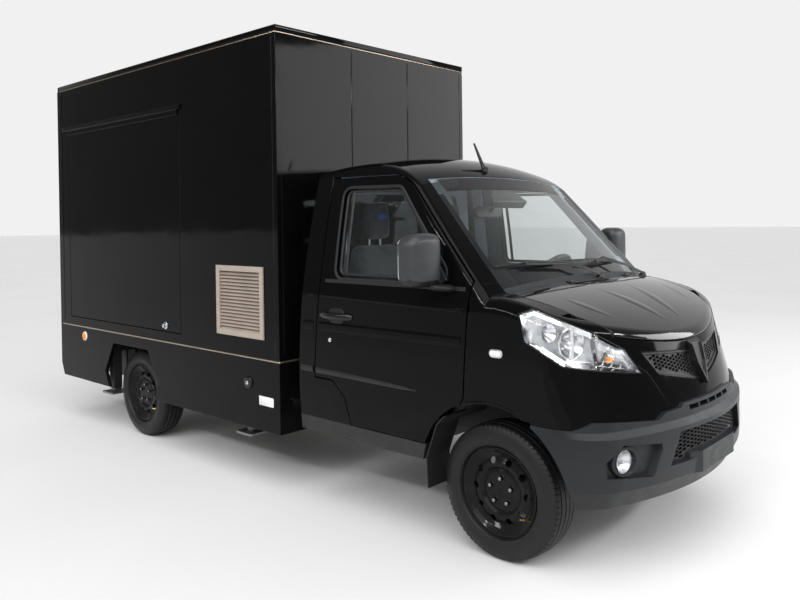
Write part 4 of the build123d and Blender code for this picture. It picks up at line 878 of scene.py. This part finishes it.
def build_cab_side(side_name, side):
    """Rear end of the side moulding, the creases on the rear quarter and the lip round the wheel arch."""
    quarter = ["body_sides"]
    moulding = bmesh.new()
    found = [beside(quarter, x, QUARTER_MOULDING_Z, side) for x in (-1.24, -1.19, -1.144)]
    tapered(moulding, found, (0.04, 0.0385, 0.0365))
    finished(f"quarter_moulding_{side_name}", moulding, black_plastic, "truck")
    crease = bmesh.new()
    strip_on(
        crease, quarter, dense([(-1.2, 1.1245), (-1.142, 1.1225)], 0.05, False), side, dome(0.024, 0.003),
    )
    strip_on(
        crease, quarter, dense([(-1.225, 0.957), (-1.142, 0.958)], 0.05, False), side, dome(0.05, 0.0022),
    )
    finished(f"quarter_crease_{side_name}", crease, black_paint, "truck", 60.0)
    lip = bmesh.new()
    arch = []
    for k in range(19):
        angle = math.radians(12.0 + 156.0 * k / 18)
        arch.append((ARCH_RADIUS * math.cos(angle), axle_z + ARCH_RADIUS * math.sin(angle)))
    arch = [(x, z) for x, z in arch if z > 0.69 and x > -0.13]
    strip_on(lip, ["fenders"], dense(arch, 0.03, False), side, dome(0.014, 0.004))
    finished(f"arch_lip_{side_name}", lip, black_paint, "truck", 60.0)


def build_mirror(side_name, side):
    """Door mirror: rounded housing whose underside is drawn darker as painted shade, glass, arm, and foot in
    the window's corner.
    """
    body = f"door_{side_name}_body"
    sections = (
        # way out from the vehicle's middle, middle x, depth, middle z, height, share of roundness
        (0.836, -0.285, 0.06, 1.337, 0.15, 0.45),
        (0.842, -0.285, 0.098, 1.335, 0.21, 0.38),
        (0.866, -0.283, 0.122, 1.334, 0.238, 0.34),
        (0.93, -0.283, 0.128, 1.333, 0.244, 0.32),
        (0.99, -0.288, 0.12, 1.33, 0.238, 0.34),
        (1.014, -0.292, 0.098, 1.328, 0.214, 0.38),
        (1.025, -0.295, 0.062, 1.327, 0.165, 0.42),
        (1.028, -0.297, 0.03, 1.327, 0.11, 0.46),
    )
    # Faces low on the housing go into a second piece of darker black plastic, which paints the shade on the
    # mirror's underside; the rest stays grey.
    shell, cap = bmesh.new(), bmesh.new()
    rings = []
    for y, x, depth, z, height, roundness in sections:
        outline = rectangle(depth, height, min(depth, height) * roundness, 6)
        rings.append([at(x + a, side * y, z + b) for a, b in outline])
    for bm, keep_low in ((shell, False), (cap, True)):
        made = [[bm.verts.new(p) for p in ring] for ring in rings]
        for one, two in zip(made, made[1:]):
            for j in range(len(one)):
                k = (j + 1) % len(one)
                middle_z = (one[j].co.z + one[k].co.z + two[j].co.z + two[k].co.z) / 4
                if (middle_z < MIRROR_SHADE_Z) == keep_low:
                    bm.faces.new((one[j], one[k], two[k], two[j]))
        if not keep_low:
            bm.faces.new(made[0])
            bm.faces.new(made[-1])
        bmesh.ops.delete(bm, geom=[v for v in bm.verts if not v.link_faces], context="VERTS")
    shell_piece = finished(f"mirror_shell_{side_name}", shell, mirror_plastic, body, 60.0)
    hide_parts(f"mirror_{side_name}")
    shaded_underside_piece = finished(f"mirror_shaded_underside_{side_name}", cap, black_plastic, body, 60.0)
    for piece in (shell_piece, shaded_underside_piece):
        piece.modifiers.new("smooth", "SUBSURF").levels = 1

    foot = bmesh.new()
    glass_base = frame_of(at(-0.3465, side * 0.934, 1.333), (-1.0, 0.0, 0.0), (0.0, 1.0, 0.0))
    glass = rectangle(0.146, 0.19, 0.026, 6)
    plated(f"mirror_glass_{side_name}", glass, 0.004, glass_base, 0.001, mirror_silver, body)
    arm = [
        at(-0.215, side * 0.8, 1.202), at(-0.228, side * 0.83, 1.203), at(-0.25, side * 0.858, 1.208),
        at(-0.272, side * 0.885, 1.216),
    ]
    sweep(foot, arm, Vector((0.0, 0.0, 1.0)), [(a * 2.6, b * 1.05) for a, b in ring_profile(0.0165, 16)])
    sail = [(-0.4, 1.226), (-0.222, 1.226), (-0.368, 1.398)]
    places = round_corners(sail, 0.012, 4)
    found = [beside([f"door_glass_{side_name}", f"door_{side_name}"], x, z, side) for x, z in places]
    front = [foot.verts.new(p + n * 0.018) for p, n in found]
    rear = [foot.verts.new(p + n * 0.001) for p, n in found]
    foot.faces.new(front)
    join(foot, front, rear)
    foot_piece = finished(f"mirror_foot_{side_name}", foot, black_plastic, body)
    foot_piece.modifiers.new("rounding", "BEVEL").width = 0.003


for side_name, side in SIDES:
    build_door(side_name, side)
    build_cab_side(side_name, side)
    build_mirror(side_name, side)


# Windscreen, wipers and antenna


SCREEN_OUT = Vector((0.72, 0.0, 0.69))


def on_screen(x, y, z, names=("windscreen", "scuttle_panel")):
    """Point and normal of the windscreen or the panel under it near a point, with x from the front axle."""
    return meet(names, at(x, y, z) + SCREEN_OUT * 0.4, -SCREEN_OUT)


def build_wiper(name, pivot, bend, blade, rubber_ends):
    """Wiper: a pivot cap and a cranked arm, a bow with two claws, and the rubber blade on the glass."""
    bm = bmesh.new()
    foot, foot_normal = on_screen(*pivot)
    cap = [
        (0.0, -0.004), (0.021, -0.004), (0.021, 0.006), (0.0165, 0.013), (0.013, 0.021), (0.009, 0.025),
        (0.0, 0.026),
    ]
    turn(bm, cap, foot, foot_normal, 28)
    found = [on_screen(*place) for place in blade]
    middle, middle_normal = found[len(found) // 2]
    knee = on_screen(*bend)[0] + SCREEN_OUT * 0.03
    arm = [
        foot + foot_normal * 0.018, (foot + knee) / 2 + SCREEN_OUT * 0.018, knee,
        middle + middle_normal * 0.026,
    ]
    sweep(bm, dense_path(arm, 5), SCREEN_OUT, [(a * 1.7, b * 0.7) for a, b in ring_profile(0.0068, 10)])
    bow = [(found[0][0] + (found[-1][0] - found[0][0]) * t) for t in (0.1, 0.3, 0.5, 0.7, 0.9)]
    lift = (0.011, 0.019, 0.024, 0.019, 0.011)
    sweep(
        bm, [p + SCREEN_OUT * h for p, h in zip(bow, lift)], SCREEN_OUT,
        [(a * 1.2, b) for a, b in ring_profile(0.0048, 8)],
    )
    for start, end in ((0.02, 0.34), (0.66, 0.98)):
        claw = [
            found[0][0] + (found[-1][0] - found[0][0]) * (start + (end - start) * k / 4) for k in range(5)
        ]
        sweep(
            bm, [p + SCREEN_OUT * h for p, h in zip(claw, (0.006, 0.011, 0.014, 0.011, 0.006))], SCREEN_OUT,
            ring_profile(0.0038, 8),
        )
    wiper = finished(f"wiper_{name}", bm, black_plastic, "truck")
    rubber = bmesh.new()
    places = dense_path([point for point, _ in found], rubber_ends)
    sweep(
        rubber, places, SCREEN_OUT,
        [
            (0.004, -0.002), (0.0042, 0.006), (0.0025, 0.008), (-0.0025, 0.008), (-0.0042, 0.006),
            (-0.004, -0.002),
        ],
    )
    finished(f"wiper_rubber_{name}", rubber, seal_rubber, "truck")
    return wiper


def dense_path(points, parts):
    """Path in space with extra points along its pieces."""
    filled = [one.lerp(two, i / parts) for one, two in zip(points, points[1:]) for i in range(parts)]
    return filled + [points[-1]]


outer_wiper = build_wiper(
    "outer", (0.041, 0.134, 1.202), (-0.035, -0.12, 1.269),
    [(-0.105, -0.622, 1.288), (-0.073, -0.432, 1.284), (-0.05, -0.192, 1.281)], 8,
)
build_wiper(
    "inner", (0.034, 0.655, 1.18), (-0.06, 0.318, 1.27),
    [(-0.028, -0.02, 1.264), (-0.034, 0.186, 1.264), (-0.056, 0.452, 1.263)], 8,
)
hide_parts("wipers")

for index, nozzle_place in enumerate(((0.049, -0.19, 1.199), (0.036, 0.428, 1.193))):
    nozzle = bmesh.new()
    spot, spot_normal = on_screen(*nozzle_place)
    plate(
        nozzle, rectangle(0.03, 0.05, 0.012), 0.009,
        frame_of(spot - spot_normal * 0.001, spot_normal, (1.0, 0.0, 0.0)), 0.003,
    )
    turn(
        nozzle, [(0.0, 0.006), (0.006, 0.006), (0.006, 0.012), (0.004, 0.0145), (0.0, 0.0145)], spot,
        spot_normal, 16,
    )
    finished(f"washer_nozzle_{index}", nozzle, black_plastic, "truck")


def build_screen_trim():
    """Dark border round the windscreen, and the sensor pod and inside mirror behind the glass."""
    low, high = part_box("windscreen")
    forward_x = front_axle_x + 1.0

    def lay(y, z, depth):
        """Point a depth behind the screen's outer face."""
        place, normal = meet(["windscreen"], (forward_x, y, z), (-1.0, 0.0, 0.0))
        return place - normal * depth

    def farthest(start, way):
        """How far the screen reaches from a (y, z) place in a direction."""
        near, far = 0.0, 0.8
        while far - near > 0.0005:
            reach = (near + far) / 2
            spot = (forward_x, start[0] + way[0] * reach, start[1] + way[1] * reach)
            if tree("windscreen").ray_cast(spot, (-1.0, 0.0, 0.0))[0] is None:
                far = reach
            else:
                near = reach
        return start[0] + way[0] * (near - 0.002), start[1] + way[1] * (near - 0.002)

    mid_z = (low.z + high.z) / 2
    edges = []
    rows = [mid_z + (high.z - 0.1 - mid_z) * k / 6 for k in range(-6, 7)]
    for way in (-1.0, 1.0):
        edges.append([(farthest((0.0, z), (way, 0.0)), (-way * 0.034, 0.0)) for z in rows])
    columns = [k * 0.045 for k in range(-12, 13)]
    edges.append([(farthest((y, mid_z), (0.0, 1.0)), (0.0, -0.062)) for y in columns])
    edges.append([(farthest((y, mid_z), (0.0, -1.0)), (0.0, 0.075)) for y in columns])
    band = bmesh.new()
    for strip in edges:
        outer = [band.verts.new(lay(y, z, -0.0004)) for (y, z), _ in strip]
        inner = [band.verts.new(lay(y + dy, z + dz, -0.0004)) for (y, z), (dy, dz) in strip]
        join(band, outer, inner, False)
    finished("screen_border", band, screen_border, "truck", 60.0)

    pod = bmesh.new()
    corners = [(-0.235, 1.612), (0.085, 1.612), (0.0, 1.705), (-0.15, 1.705)]
    spot = lay(-0.08, 1.65, 0.012)
    face = [pod.verts.new(lay(y, z, 0.009)) for y, z in corners]
    back = [pod.verts.new(lay(y * 0.92 - 0.006, z - 0.008, 0.055)) for y, z in corners]
    pod.faces.new(face)
    pod.faces.new(back)
    join(pod, face, back)
    pod_piece = finished("sensor_pod", pod, black_plastic, "truck")
    rounding = pod_piece.modifiers.new("rounding", "BEVEL")
    rounding.width = 0.008
    rounding.segments = 3
    mirror = bmesh.new()
    base = frame_of(spot + Vector((-0.1, 0.0, -0.09)), (-1.0, 0.0, -0.1), (0.0, 1.0, 0.0))
    plate(mirror, rectangle(0.24, 0.065, 0.028), 0.028, base, 0.009)
    stalk = [spot + Vector((x, 0.0, z)) for x, z in ((-0.03, -0.02), (-0.07, -0.06), (-0.1, -0.088))]
    sweep(mirror, stalk, Vector((0.0, 1.0, 0.0)), ring_profile(0.008))
    finished("inside_mirror", mirror, black_plastic, "truck")


def build_antenna():
    """Whip antenna with a hinged base on the front of the roof."""
    place, normal = meet(["cab_roof", "windscreen"], at(-0.527, -0.093, 2.4), (0.0, 0.0, -1.0))
    bm = bmesh.new()
    foot = [
        (0.0, -0.003), (0.017, -0.003), (0.018, 0.004), (0.015, 0.012), (0.0105, 0.018), (0.009, 0.026),
        (0.0, 0.027),
    ]
    turn(bm, foot, place, normal, 28)
    tip = at(-0.61, -0.08, 1.94)
    axis = (tip - place).normalized()
    reach = (tip - place).length
    rod = [(0.012, 0.004), (0.0125, 0.022), (0.0105, 0.032)]
    for k in range(24):
        along = 0.034 + (reach - 0.05) * k / 24
        radius = 0.0105 - 0.0045 * k / 24
        rod += [(radius, along), (radius, along + 0.0022), (radius - 0.0009, along + 0.0042)]
    rod += [(0.006, reach - 0.01), (0.0055, reach - 0.003), (0.0, reach)]
    turn(bm, rod, place, axis, 14)
    finished("antenna", bm, black_plastic, "truck")


def build_bonnet_creases():
    """Two raised creases that run forwards and together over the bonnet, and a fainter one outside each."""
    bm = bmesh.new()
    for side_sign in (-1, 1):
        for start, end, width, height in (
            ((0.17, 0.16), (0.5, 0.075), 0.07, 0.0022), ((0.2, 0.5), (0.4, 0.43), 0.07, 0.0012),
        ):
            found = []
            for k in range(11):
                x = start[0] + (end[0] - start[0]) * k / 10
                y = side_sign * (start[1] + (end[1] - start[1]) * k / 10)
                found.append(meet(["bonnet"], at(x, y, 1.6), (0.0, 0.0, -1.0)))
            rings = []
            for k, (point, normal) in enumerate(found):
                share = math.sin(math.pi * k / 10)
                shape = dome(width * (0.2 + 0.8 * share), height * share, -0.002)
                rings.append([bm.verts.new(point + Vector((0.0, a, 0.0)) + normal * b) for a, b in shape])
            for one, two in zip(rings, rings[1:]):
                join(bm, one, two, False)
    # The creases share the bonnet's lighter copy of the black paint, whose colour is a painted sheen.
    finished("bonnet_creases", bm, bonnet_lit_paint, "bonnet_body", 60.0)


build_bonnet_creases()
build_screen_trim()
build_antenna()


# Box


BOX_LENGTH = box_front_x - box_back_x
BOX_MIDDLE = (box_front_x + box_back_x) / 2
BOX_HALF = -box_right_y
SOCKET_PLACE = (-1.686, 0.581)
MARKER_PLACE = (-3.755, 0.659)
LABEL_PLACE = (-1.5235, 0.4925)
LATCH_PLACE = (-2.588, 0.837)
ROOF_EDGE_Z = 2.592
ROOF_LINE_Z = 2.5705
SKIRT_LINE_Z = 0.728
CORNER_SHAPE = [
    (0.0015, 0.0015), (-0.034, 0.0015), (-0.034, -0.001), (-0.001, -0.001), (-0.001, -0.034),
    (0.0015, -0.034),
]
CORNER_LOW_Z = 0.76
CORNER_HIGH_Z = 2.55
FRONT_JOINT_Y = 0.256
REAR_HANDLE_INSET = 0.085
REAR_HANDLE_Z = 1.62
REAR_LOCK_Z = 1.47
REAR_PLATE_Z = 0.58
TAIL_LAMP_Z = 0.64
WHEEL_BOX_GAP = 0.375
WHEEL_BOX_Y = 0.552
WHEEL_BOX_Z = 0.45


def band_round_box(bm, z, profile, grow=0.0):
    """Adds a strip round the four sides of the box at a height."""
    outline = rectangle(BOX_LENGTH + 2 * grow, 2 * BOX_HALF + 2 * grow, 0.004, 3)
    path = [Vector((BOX_MIDDLE + x, y, z)) for x, y in outline]
    count = len(path)
    normals = []
    for i in range(count):
        along = (path[(i + 1) % count] - path[i - 1]).normalized()
        normals.append(Vector((along.y, -along.x, 0.0)))
    sweep(bm, path, normals, profile, True)


def build_box_trims():
    """Roof edge, bronze lines under it and over the skirts, front wall joints and corner trims."""
    edge = bmesh.new()
    band_round_box(
        edge, ROOF_EDGE_Z,
        [
            (-0.018, -0.002), (-0.018, 0.0015), (-0.0155, 0.004), (0.0135, 0.004), (0.018, 0.0015),
            (0.018, -0.002),
        ],
    )
    finished("roof_edge", edge, black_paint, "truck")
    pale = bmesh.new()
    band_round_box(
        pale, ROOF_LINE_Z, [(-0.0025, -0.001), (-0.002, 0.0032), (0.002, 0.0032), (0.0025, -0.001)],
    )
    finished("roof_line", pale, bronze_trim, "truck")
    line = bmesh.new()
    band_round_box(
        line, SKIRT_LINE_Z,
        [
            (-0.0045, -0.001), (-0.0045, 0.002), (-0.0025, 0.004), (0.0025, 0.004), (0.0045, 0.002),
            (0.0045, -0.001),
        ],
    )
    finished("skirt_line", line, bronze_trim, "truck")
    joint = bmesh.new()
    for y in (-FRONT_JOINT_Y, FRONT_JOINT_Y):
        path = [Vector((box_front_x, y, 0.75 + k * 0.18)) for k in range(11)]
        sweep(joint, path, Vector((1.0, 0.0, 0.0)), dome(0.012, 0.002))
    finished("front_wall_joints", joint, black_paint, "truck")
    corner = bmesh.new()
    for x, way in ((box_front_x, 1), (box_back_x, -1)):
        for side_sign in (-1, 1):
            shape = [(a * way, b * side_sign) for a, b in CORNER_SHAPE]
            foot = Matrix.Translation((x, side_sign * BOX_HALF, CORNER_LOW_Z))
            plate(corner, shape, CORNER_HIGH_Z - CORNER_LOW_Z, foot)
    finished("corner_trims", corner, black_paint, "truck")


def on_box_side(x, z, side=-1):
    """Point and normal of the box's or skirt's side, with x from the front axle."""
    return beside(
        ["box_right_wall" if side < 0 else "box_left_wall", "side_skirts", "serving_hatch"], x, z, side,
    )


def build_box_fittings():
    """Capped socket, blank label and hatch latch on the box's right side, and a marker on each side."""
    out = Vector((0.0, -1.0, 0.0))
    place, _ = on_box_side(*SOCKET_PLACE)
    cap = [
        (0.0, -0.001), (0.036, -0.001), (0.036, 0.006), (0.033, 0.011), (0.026, 0.013), (0.015, 0.013),
        (0.013, 0.011), (0.0, 0.011),
    ]
    barrel = [
        (0.0, 0.009), (0.0125, 0.009), (0.0125, 0.0145), (0.01, 0.0165), (0.0045, 0.0165), (0.004, 0.0135),
        (0.0, 0.0135),
    ]
    turned("socket_cap", cap, place, out, gloss_black_plastic, "truck", 48)
    turned("socket_lock", barrel, place, out, satin_metal, "truck", 32)
    ring = [
        (0.0, -0.001), (0.034, -0.001), (0.034, 0.005), (0.031, 0.009), (0.0265, 0.009), (0.026, 0.004),
        (0.0, 0.004),
    ]
    lens = [
        (0.0255, 0.003), (0.0255, 0.009), (0.022, 0.0135), (0.019, 0.0148), (0.0175, 0.0142), (0.014, 0.0165),
        (0.0125, 0.016), (0.008, 0.018), (0.0, 0.0185),
    ]
    for name, side_sign in SIDES:
        place, _ = on_box_side(*MARKER_PLACE, side_sign)
        away = Vector((0.0, side_sign, 0.0))
        turned(f"side_marker_ring_{name}", ring, place, away, white_plastic, "truck", 48)
        turned(f"side_marker_lens_{name}", lens, place, away, amber_plastic, "truck")
    place, _ = on_box_side(*LABEL_PLACE)
    base = frame_of(place + Vector((0.0, 0.0005, 0.0)), out, (1.0, 0.0, 0.0))
    label = rectangle(0.133, 0.053, 0.004)
    plated("blank_label", label, 0.0012, base, 0.0004, white_plastic, "truck")
    place, _ = beside(["serving_hatch"], *LATCH_PLACE, -1)
    knob = [
        (0.0, -0.001), (0.024, -0.001), (0.024, 0.003), (0.02, 0.006), (0.011, 0.007), (0.011, 0.011),
        (0.014, 0.014),
        (0.014, 0.02), (0.011, 0.0225), (0.0, 0.023),
    ]
    turned("hatch_latch", knob, place, out, satin_metal, "hatch_body", 32)


def build_rear_fittings():
    """Rear door handle, lock and bead, a blank number plate, and rings on the tail lamps."""
    back = Vector((-1.0, 0.0, 0.0))
    low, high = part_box("rear_door")
    handle = bmesh.new()
    place, _ = meet(["rear_door"], (low.x - 0.5, low.y + REAR_HANDLE_INSET, REAR_HANDLE_Z), (1.0, 0.0, 0.0))
    base = frame_of(place + Vector((0.0005, 0.0, 0.0)), back, (0.0, 0.0, 1.0))
    plate(handle, rectangle(0.19, 0.05, 0.02), 0.006, base, 0.002)
    bow = ((0.004, -0.07), (0.026, -0.062), (0.031, -0.03), (0.031, 0.03), (0.026, 0.062), (0.004, 0.07))
    grip = [place + Vector((-out, 0.0, z)) for out, z in bow]
    sweep(handle, grip, Vector((0.0, 1.0, 0.0)), ring_profile(0.0085, 12))
    finished("rear_door_handle", handle, gloss_black_plastic, "rear_door_body")
    place, _ = meet(["rear_door"], (low.x - 0.5, low.y + REAR_HANDLE_INSET, REAR_LOCK_Z), (1.0, 0.0, 0.0))
    barrel = [
        (0.0, -0.001), (0.017, -0.001), (0.017, 0.004), (0.014, 0.0065), (0.006, 0.0065), (0.005, 0.004),
        (0.0, 0.004),
    ]
    turned("rear_door_lock", barrel, place, back, satin_metal, "rear_door_body", 32)
    bead = bmesh.new()
    mid_y, mid_z = (low.y + high.y - 0.017) / 2, (low.z + high.z) / 2
    outline = rectangle(high.y - low.y - 0.09, high.z - low.z - 0.08, 0.05)
    outer_x = meet(["rear_door"], (low.x - 0.5, 0.0, 1.3), (1.0, 0.0, 0.0))[0].x
    sweep(
        bead, [Vector((outer_x, mid_y + a, mid_z + b)) for a, b in dense(outline, 0.08)], back,
        dome(0.014, 0.003), True,
    )
    finished("rear_door_bead", bead, black_paint, "rear_door_body")
    start = (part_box("rear_bumper")[0].x - 0.5, 0.0, REAR_PLATE_Z)
    place, _ = meet(["rear_bumper"], start, (1.0, 0.0, 0.0))
    base = frame_of(place + Vector((0.001, 0.0, 0.0)), back, (0.0, 1.0, 0.0))
    blank = rectangle(0.52, 0.11, 0.012)
    plated("rear_plate_blank", blank, 0.003, base, 0.001, white_plastic, "truck")
    low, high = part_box("tail_lamps")
    for name, side_sign in SIDES:
        ribs = bmesh.new()
        middle = side_sign * (high.y - 0.1)
        found = [
            meet(["tail_lamps"], (low.x - 0.3, middle + offset, TAIL_LAMP_Z), (1.0, 0.0, 0.0))[0]
            for offset in (-0.06, 0.0, 0.06)
        ]
        for spot, radius in zip(found, (0.026, 0.03, 0.026)):
            for k in range(3):
                r = radius * (1 - 0.3 * k)
                turn(
                    ribs,
                    [
                        (r, -0.0006), (r, 0.0012), (r - 0.0022, 0.0022), (r - 0.0044, 0.0012),
                        (r - 0.0044, -0.0006),
                    ],
                    spot, back, 32,
                )
        finished(f"tail_lamp_rings_{name}", ribs, red_plastic, "truck")


def build_wheel_boxes():
    """Ribbed panels that close the box's underside behind the rear wheels."""
    for side_name, side_sign in SIDES:
        bm = bmesh.new()
        rear = rear_axle_x - WHEEL_BOX_GAP
        place = Vector((rear - 0.3, side_sign * WHEEL_BOX_Y, WHEEL_BOX_Z))
        base = frame_of(place, (0.0, side_sign, 0.0), (1.0, 0.0, 0.0))
        plate(bm, rectangle(0.6, 0.27, 0.03), 0.006, base, 0.002)
        for k in range(4):
            rib = frame_of(
                place + Vector((-0.21 + 0.14 * k, side_sign * 0.005, 0.0)), (0.0, side_sign, 0.0),
                (1.0, 0.0, 0.0),
            )
            plate(bm, rectangle(0.05, 0.2, 0.02), 0.006, rib, 0.0025)
        finished(f"wheel_box_{side_name}", bm, black_plastic, "truck")


build_wheel_boxes()
build_box_trims()
build_box_fittings()
build_rear_fittings()


# Cab inside


SEAT_Y = 0.335
COVER_VOXEL = 0.01
COVER_PRESSURE = 4.0
COVER_FRAMES = 20


def pad(name, sections, across, up, finish, swell):
    """Stuffed seat part lofted through rounded sections, whose cover then swells."""
    bm = bmesh.new()
    rings = []
    for place, width, height, radius in sections:
        outline = rectangle(width, height, radius, 5)
        rings.append([bm.verts.new(Vector(place) + across * a + up * b) for a, b in outline])
    for one, two in zip(rings, rings[1:]):
        join(bm, one, two)
    bm.faces.new(rings[0])
    bm.faces.new(rings[-1])
    bmesh.ops.recalc_face_normals(bm, faces=bm.faces[:])
    piece = finished(name, bm, finish, "truck", 70.0)
    swell_pad(piece, swell)
    piece.modifiers.new("softness", "SUBSURF").levels = 1
    return piece


def swell_pad(piece, reach):
    """Lets the cover swell under pressure, and caps how far each point may go."""
    remesh = piece.modifiers.new("remesh", "REMESH")
    remesh.mode = "VOXEL"
    remesh.voxel_size = COVER_VOXEL
    settle(piece)
    start = [v.co.copy() for v in piece.data.vertices]
    cloth = piece.modifiers.new("cloth", "CLOTH")
    cloth.settings.use_pressure = True
    cloth.settings.uniform_pressure_force = COVER_PRESSURE
    cloth.settings.effector_weights.gravity = 0.0
    cloth.settings.tension_stiffness = 20.0
    for step in range(1, COVER_FRAMES + 1):
        bpy.context.scene.frame_set(step)
    settle(piece)
    for vertex, before in zip(piece.data.vertices, start):
        moved = vertex.co - before
        if moved.length > reach:
            vertex.co = before + moved.normalized() * reach
    bpy.context.scene.frame_set(1)
    piece.data.shade_smooth()


def settle(piece):
    """Takes the result of a piece's modifiers as its mesh."""
    shown = piece.evaluated_get(bpy.context.evaluated_depsgraph_get())
    mesh = bpy.data.meshes.new_from_object(shown)
    old = piece.data
    piece.modifiers.clear()
    piece.data = mesh
    bpy.data.meshes.remove(old)


def build_seats():
    """Two cab seats: cushion, back, head restraint on its posts, and a blue tab."""
    across = Vector((0.0, 1.0, 0.0))
    first = None
    for side_name, side in SIDES:
        y = side * SEAT_Y
        cushion = [
            (at(-1.06, y, 0.83), 0.42, 0.09, 0.04), (at(-1.03, y, 0.828), 0.455, 0.115, 0.05),
            (at(-0.85, y, 0.826), 0.46, 0.115, 0.05),
            (at(-0.67, y, 0.832), 0.455, 0.115, 0.05), (at(-0.625, y, 0.83), 0.42, 0.085, 0.04),
        ]
        seat = pad(f"seat_cushion_{side_name}", cushion, across, Vector((0.0, 0.0, 1.0)), seat_cloth, 0.012)
        first = first or seat
        lean = Vector((0.97, 0.0, 0.24))
        back = [
            (at(-1.075, y, 0.9), 0.43, 0.09, 0.04), (at(-1.083, y, 0.94), 0.46, 0.115, 0.05),
            (at(-1.1, y, 1.1), 0.45, 0.115, 0.05),
            (at(-1.13, y, 1.3), 0.4, 0.105, 0.05), (at(-1.142, y, 1.36), 0.36, 0.08, 0.038),
            (at(-1.146, y, 1.38), 0.3, 0.05, 0.024),
        ]
        pad(f"seat_back_{side_name}", back, across, lean, seat_cloth, 0.012)
        rest = [
            (at(-1.13, y, 1.41), 0.15, 0.05, 0.024), (at(-1.13, y, 1.425), 0.19, 0.08, 0.036),
            (at(-1.132, y, 1.51), 0.2, 0.09, 0.04),
            (at(-1.135, y, 1.595), 0.18, 0.075, 0.036), (at(-1.136, y, 1.612), 0.13, 0.045, 0.022),
        ]
        pad(f"head_restraint_{side_name}", rest, across, lean, seat_cloth, 0.008)
        base = frame_of(at(-1.083, y, 1.535), (1.0, 0.0, 0.24), (0.0, 1.0, 0.0))
        tab = rectangle(0.075, 0.028, 0.006)
        plated(f"seat_tab_{side_name}", tab, 0.004, base, 0.0015, blue_cloth, "truck")
        posts = bmesh.new()
        for offset in (-0.045, 0.045):
            path = [at(-1.142, y + offset, z) for z in (1.36, 1.39, 1.42, 1.45)]
            sweep(posts, path, Vector((1.0, 0.0, 0.0)), ring_profile(0.006))
        finished(f"head_posts_{side_name}", posts, satin_metal, "truck")
    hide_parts("seats")


build_seats()


# Stage and camera


def build_stage():
    """Pale floor, a world that is pale ahead of the photo's camera and behind it, and soft studio lights."""
    bm = bmesh.new()
    bmesh.ops.create_grid(bm, x_segments=8, y_segments=8, size=120.0)
    mesh = bpy.data.meshes.new("floor")
    bm.to_mesh(mesh)
    bm.free()
    floor_finish = Finish("floor_finish", (0.71, 0.71, 0.71), 0.75, specular=0.2)
    floor_finish.mottle(0.6, 0.02).uneven(2.0, 0.04).grain(60.0, 0.0004, 0.1)
    mesh.materials.append(floor_finish.material)
    floor = bpy.data.objects.new("floor", mesh)
    bpy.context.scene.collection.objects.link(floor)

    world = bpy.data.worlds.new("studio")
    bpy.context.scene.world = world
    world.use_nodes = True
    tree_nodes, links = world.node_tree.nodes, world.node_tree.links
    background = tree_nodes["Background"]
    place = tree_nodes.new("ShaderNodeTexCoord")
    look = tree_nodes.new("ShaderNodeVectorMath")
    look.operation = "DOT_PRODUCT"
    backdrop_yaw = math.radians(132.6)
    look.inputs[1].default_value = (math.cos(backdrop_yaw), math.sin(backdrop_yaw), 0.0)
    levels = []
    for start, end, low, high in ((0.3, 0.8, 0.0, 0.7), (-0.3, -0.9, 0.18, 0.42)):
        ramp = tree_nodes.new("ShaderNodeMapRange")
        for name, value in (("From Min", start), ("From Max", end), ("To Min", low), ("To Max", high)):
            ramp.inputs[name].default_value = value
        links.new(look.outputs["Value"], ramp.inputs["Value"])
        levels.append(ramp.outputs["Result"])
    total = tree_nodes.new("ShaderNodeMath")
    links.new(levels[0], total.inputs[0])
    links.new(levels[1], total.inputs[1])
    links.new(place.outputs["Generated"], look.inputs[0])
    links.new(total.outputs["Value"], background.inputs["Color"])
    background.inputs["Strength"].default_value = 1.0

    for name, kind, energy, place_at, target, sizes in (
        ("key", "SUN", 2.75, (3.0, -4.0, 7.0), (0.0, 0.0, 0.0), (math.radians(70.0), 0.0)),
        ("side_strip", "AREA", 140.0, (0.6, -5.6, 3.8), (0.0, 0.0, 1.2), (7.0, 0.2)),
        ("front_strip", "AREA", 120.0, (6.2, 0.6, 3.3), (1.5, 0.0, 1.0), (4.0, 0.3)),
        ("left_soft", "AREA", 200.0, (6.5, 6.5, 3.2), (0.5, 0.0, 1.6), (4.0, 3.0)),
    ):
        data = bpy.data.lights.new(name, kind)
        data.energy = energy
        if kind == "SUN":
            data.angle = sizes[0]
        else:
            data.shape = "RECTANGLE"
            data.size, data.size_y = sizes
        light = bpy.data.objects.new(name, data)
        facing = (Vector(target) - Vector(place_at)).to_track_quat("-Z", "Y")
        light.matrix_world = Matrix.Translation(place_at) @ facing.to_matrix().to_4x4()
        bpy.context.scene.collection.objects.link(light)


def build_camera():
    """Camera solved from the photo, which is 800 by 600."""
    yaw, pitch, roll = (math.radians(angle) for angle in (132.614, -0.852, -0.705))
    focal_pixels = 759.68
    photo_width = 800.0
    forward = Vector((math.cos(pitch) * math.cos(yaw), math.cos(pitch) * math.sin(yaw), math.sin(pitch)))
    level_right = forward.cross(Vector((0.0, 0.0, 1.0))).normalized()
    level_up = level_right.cross(forward)
    right = level_right * math.cos(roll) + level_up * math.sin(roll)
    up = -level_right * math.sin(roll) + level_up * math.cos(roll)
    data = bpy.data.cameras.new("photo_camera")
    data.sensor_width = 36.0
    data.lens = focal_pixels / photo_width * data.sensor_width
    data.shift_x = 0.00645
    data.shift_y = -0.084
    camera = bpy.data.objects.new("photo_camera", data)
    facing = Matrix((right, up, -forward)).transposed()
    camera.matrix_world = Matrix.Translation((front_axle_x + 1.939, -3.512, 1.508)) @ facing.to_4x4()
    bpy.context.scene.collection.objects.link(camera)
    bpy.context.scene.camera = camera


bpy.context.scene.view_settings.view_transform = "Standard"
build_stage()
build_camera()
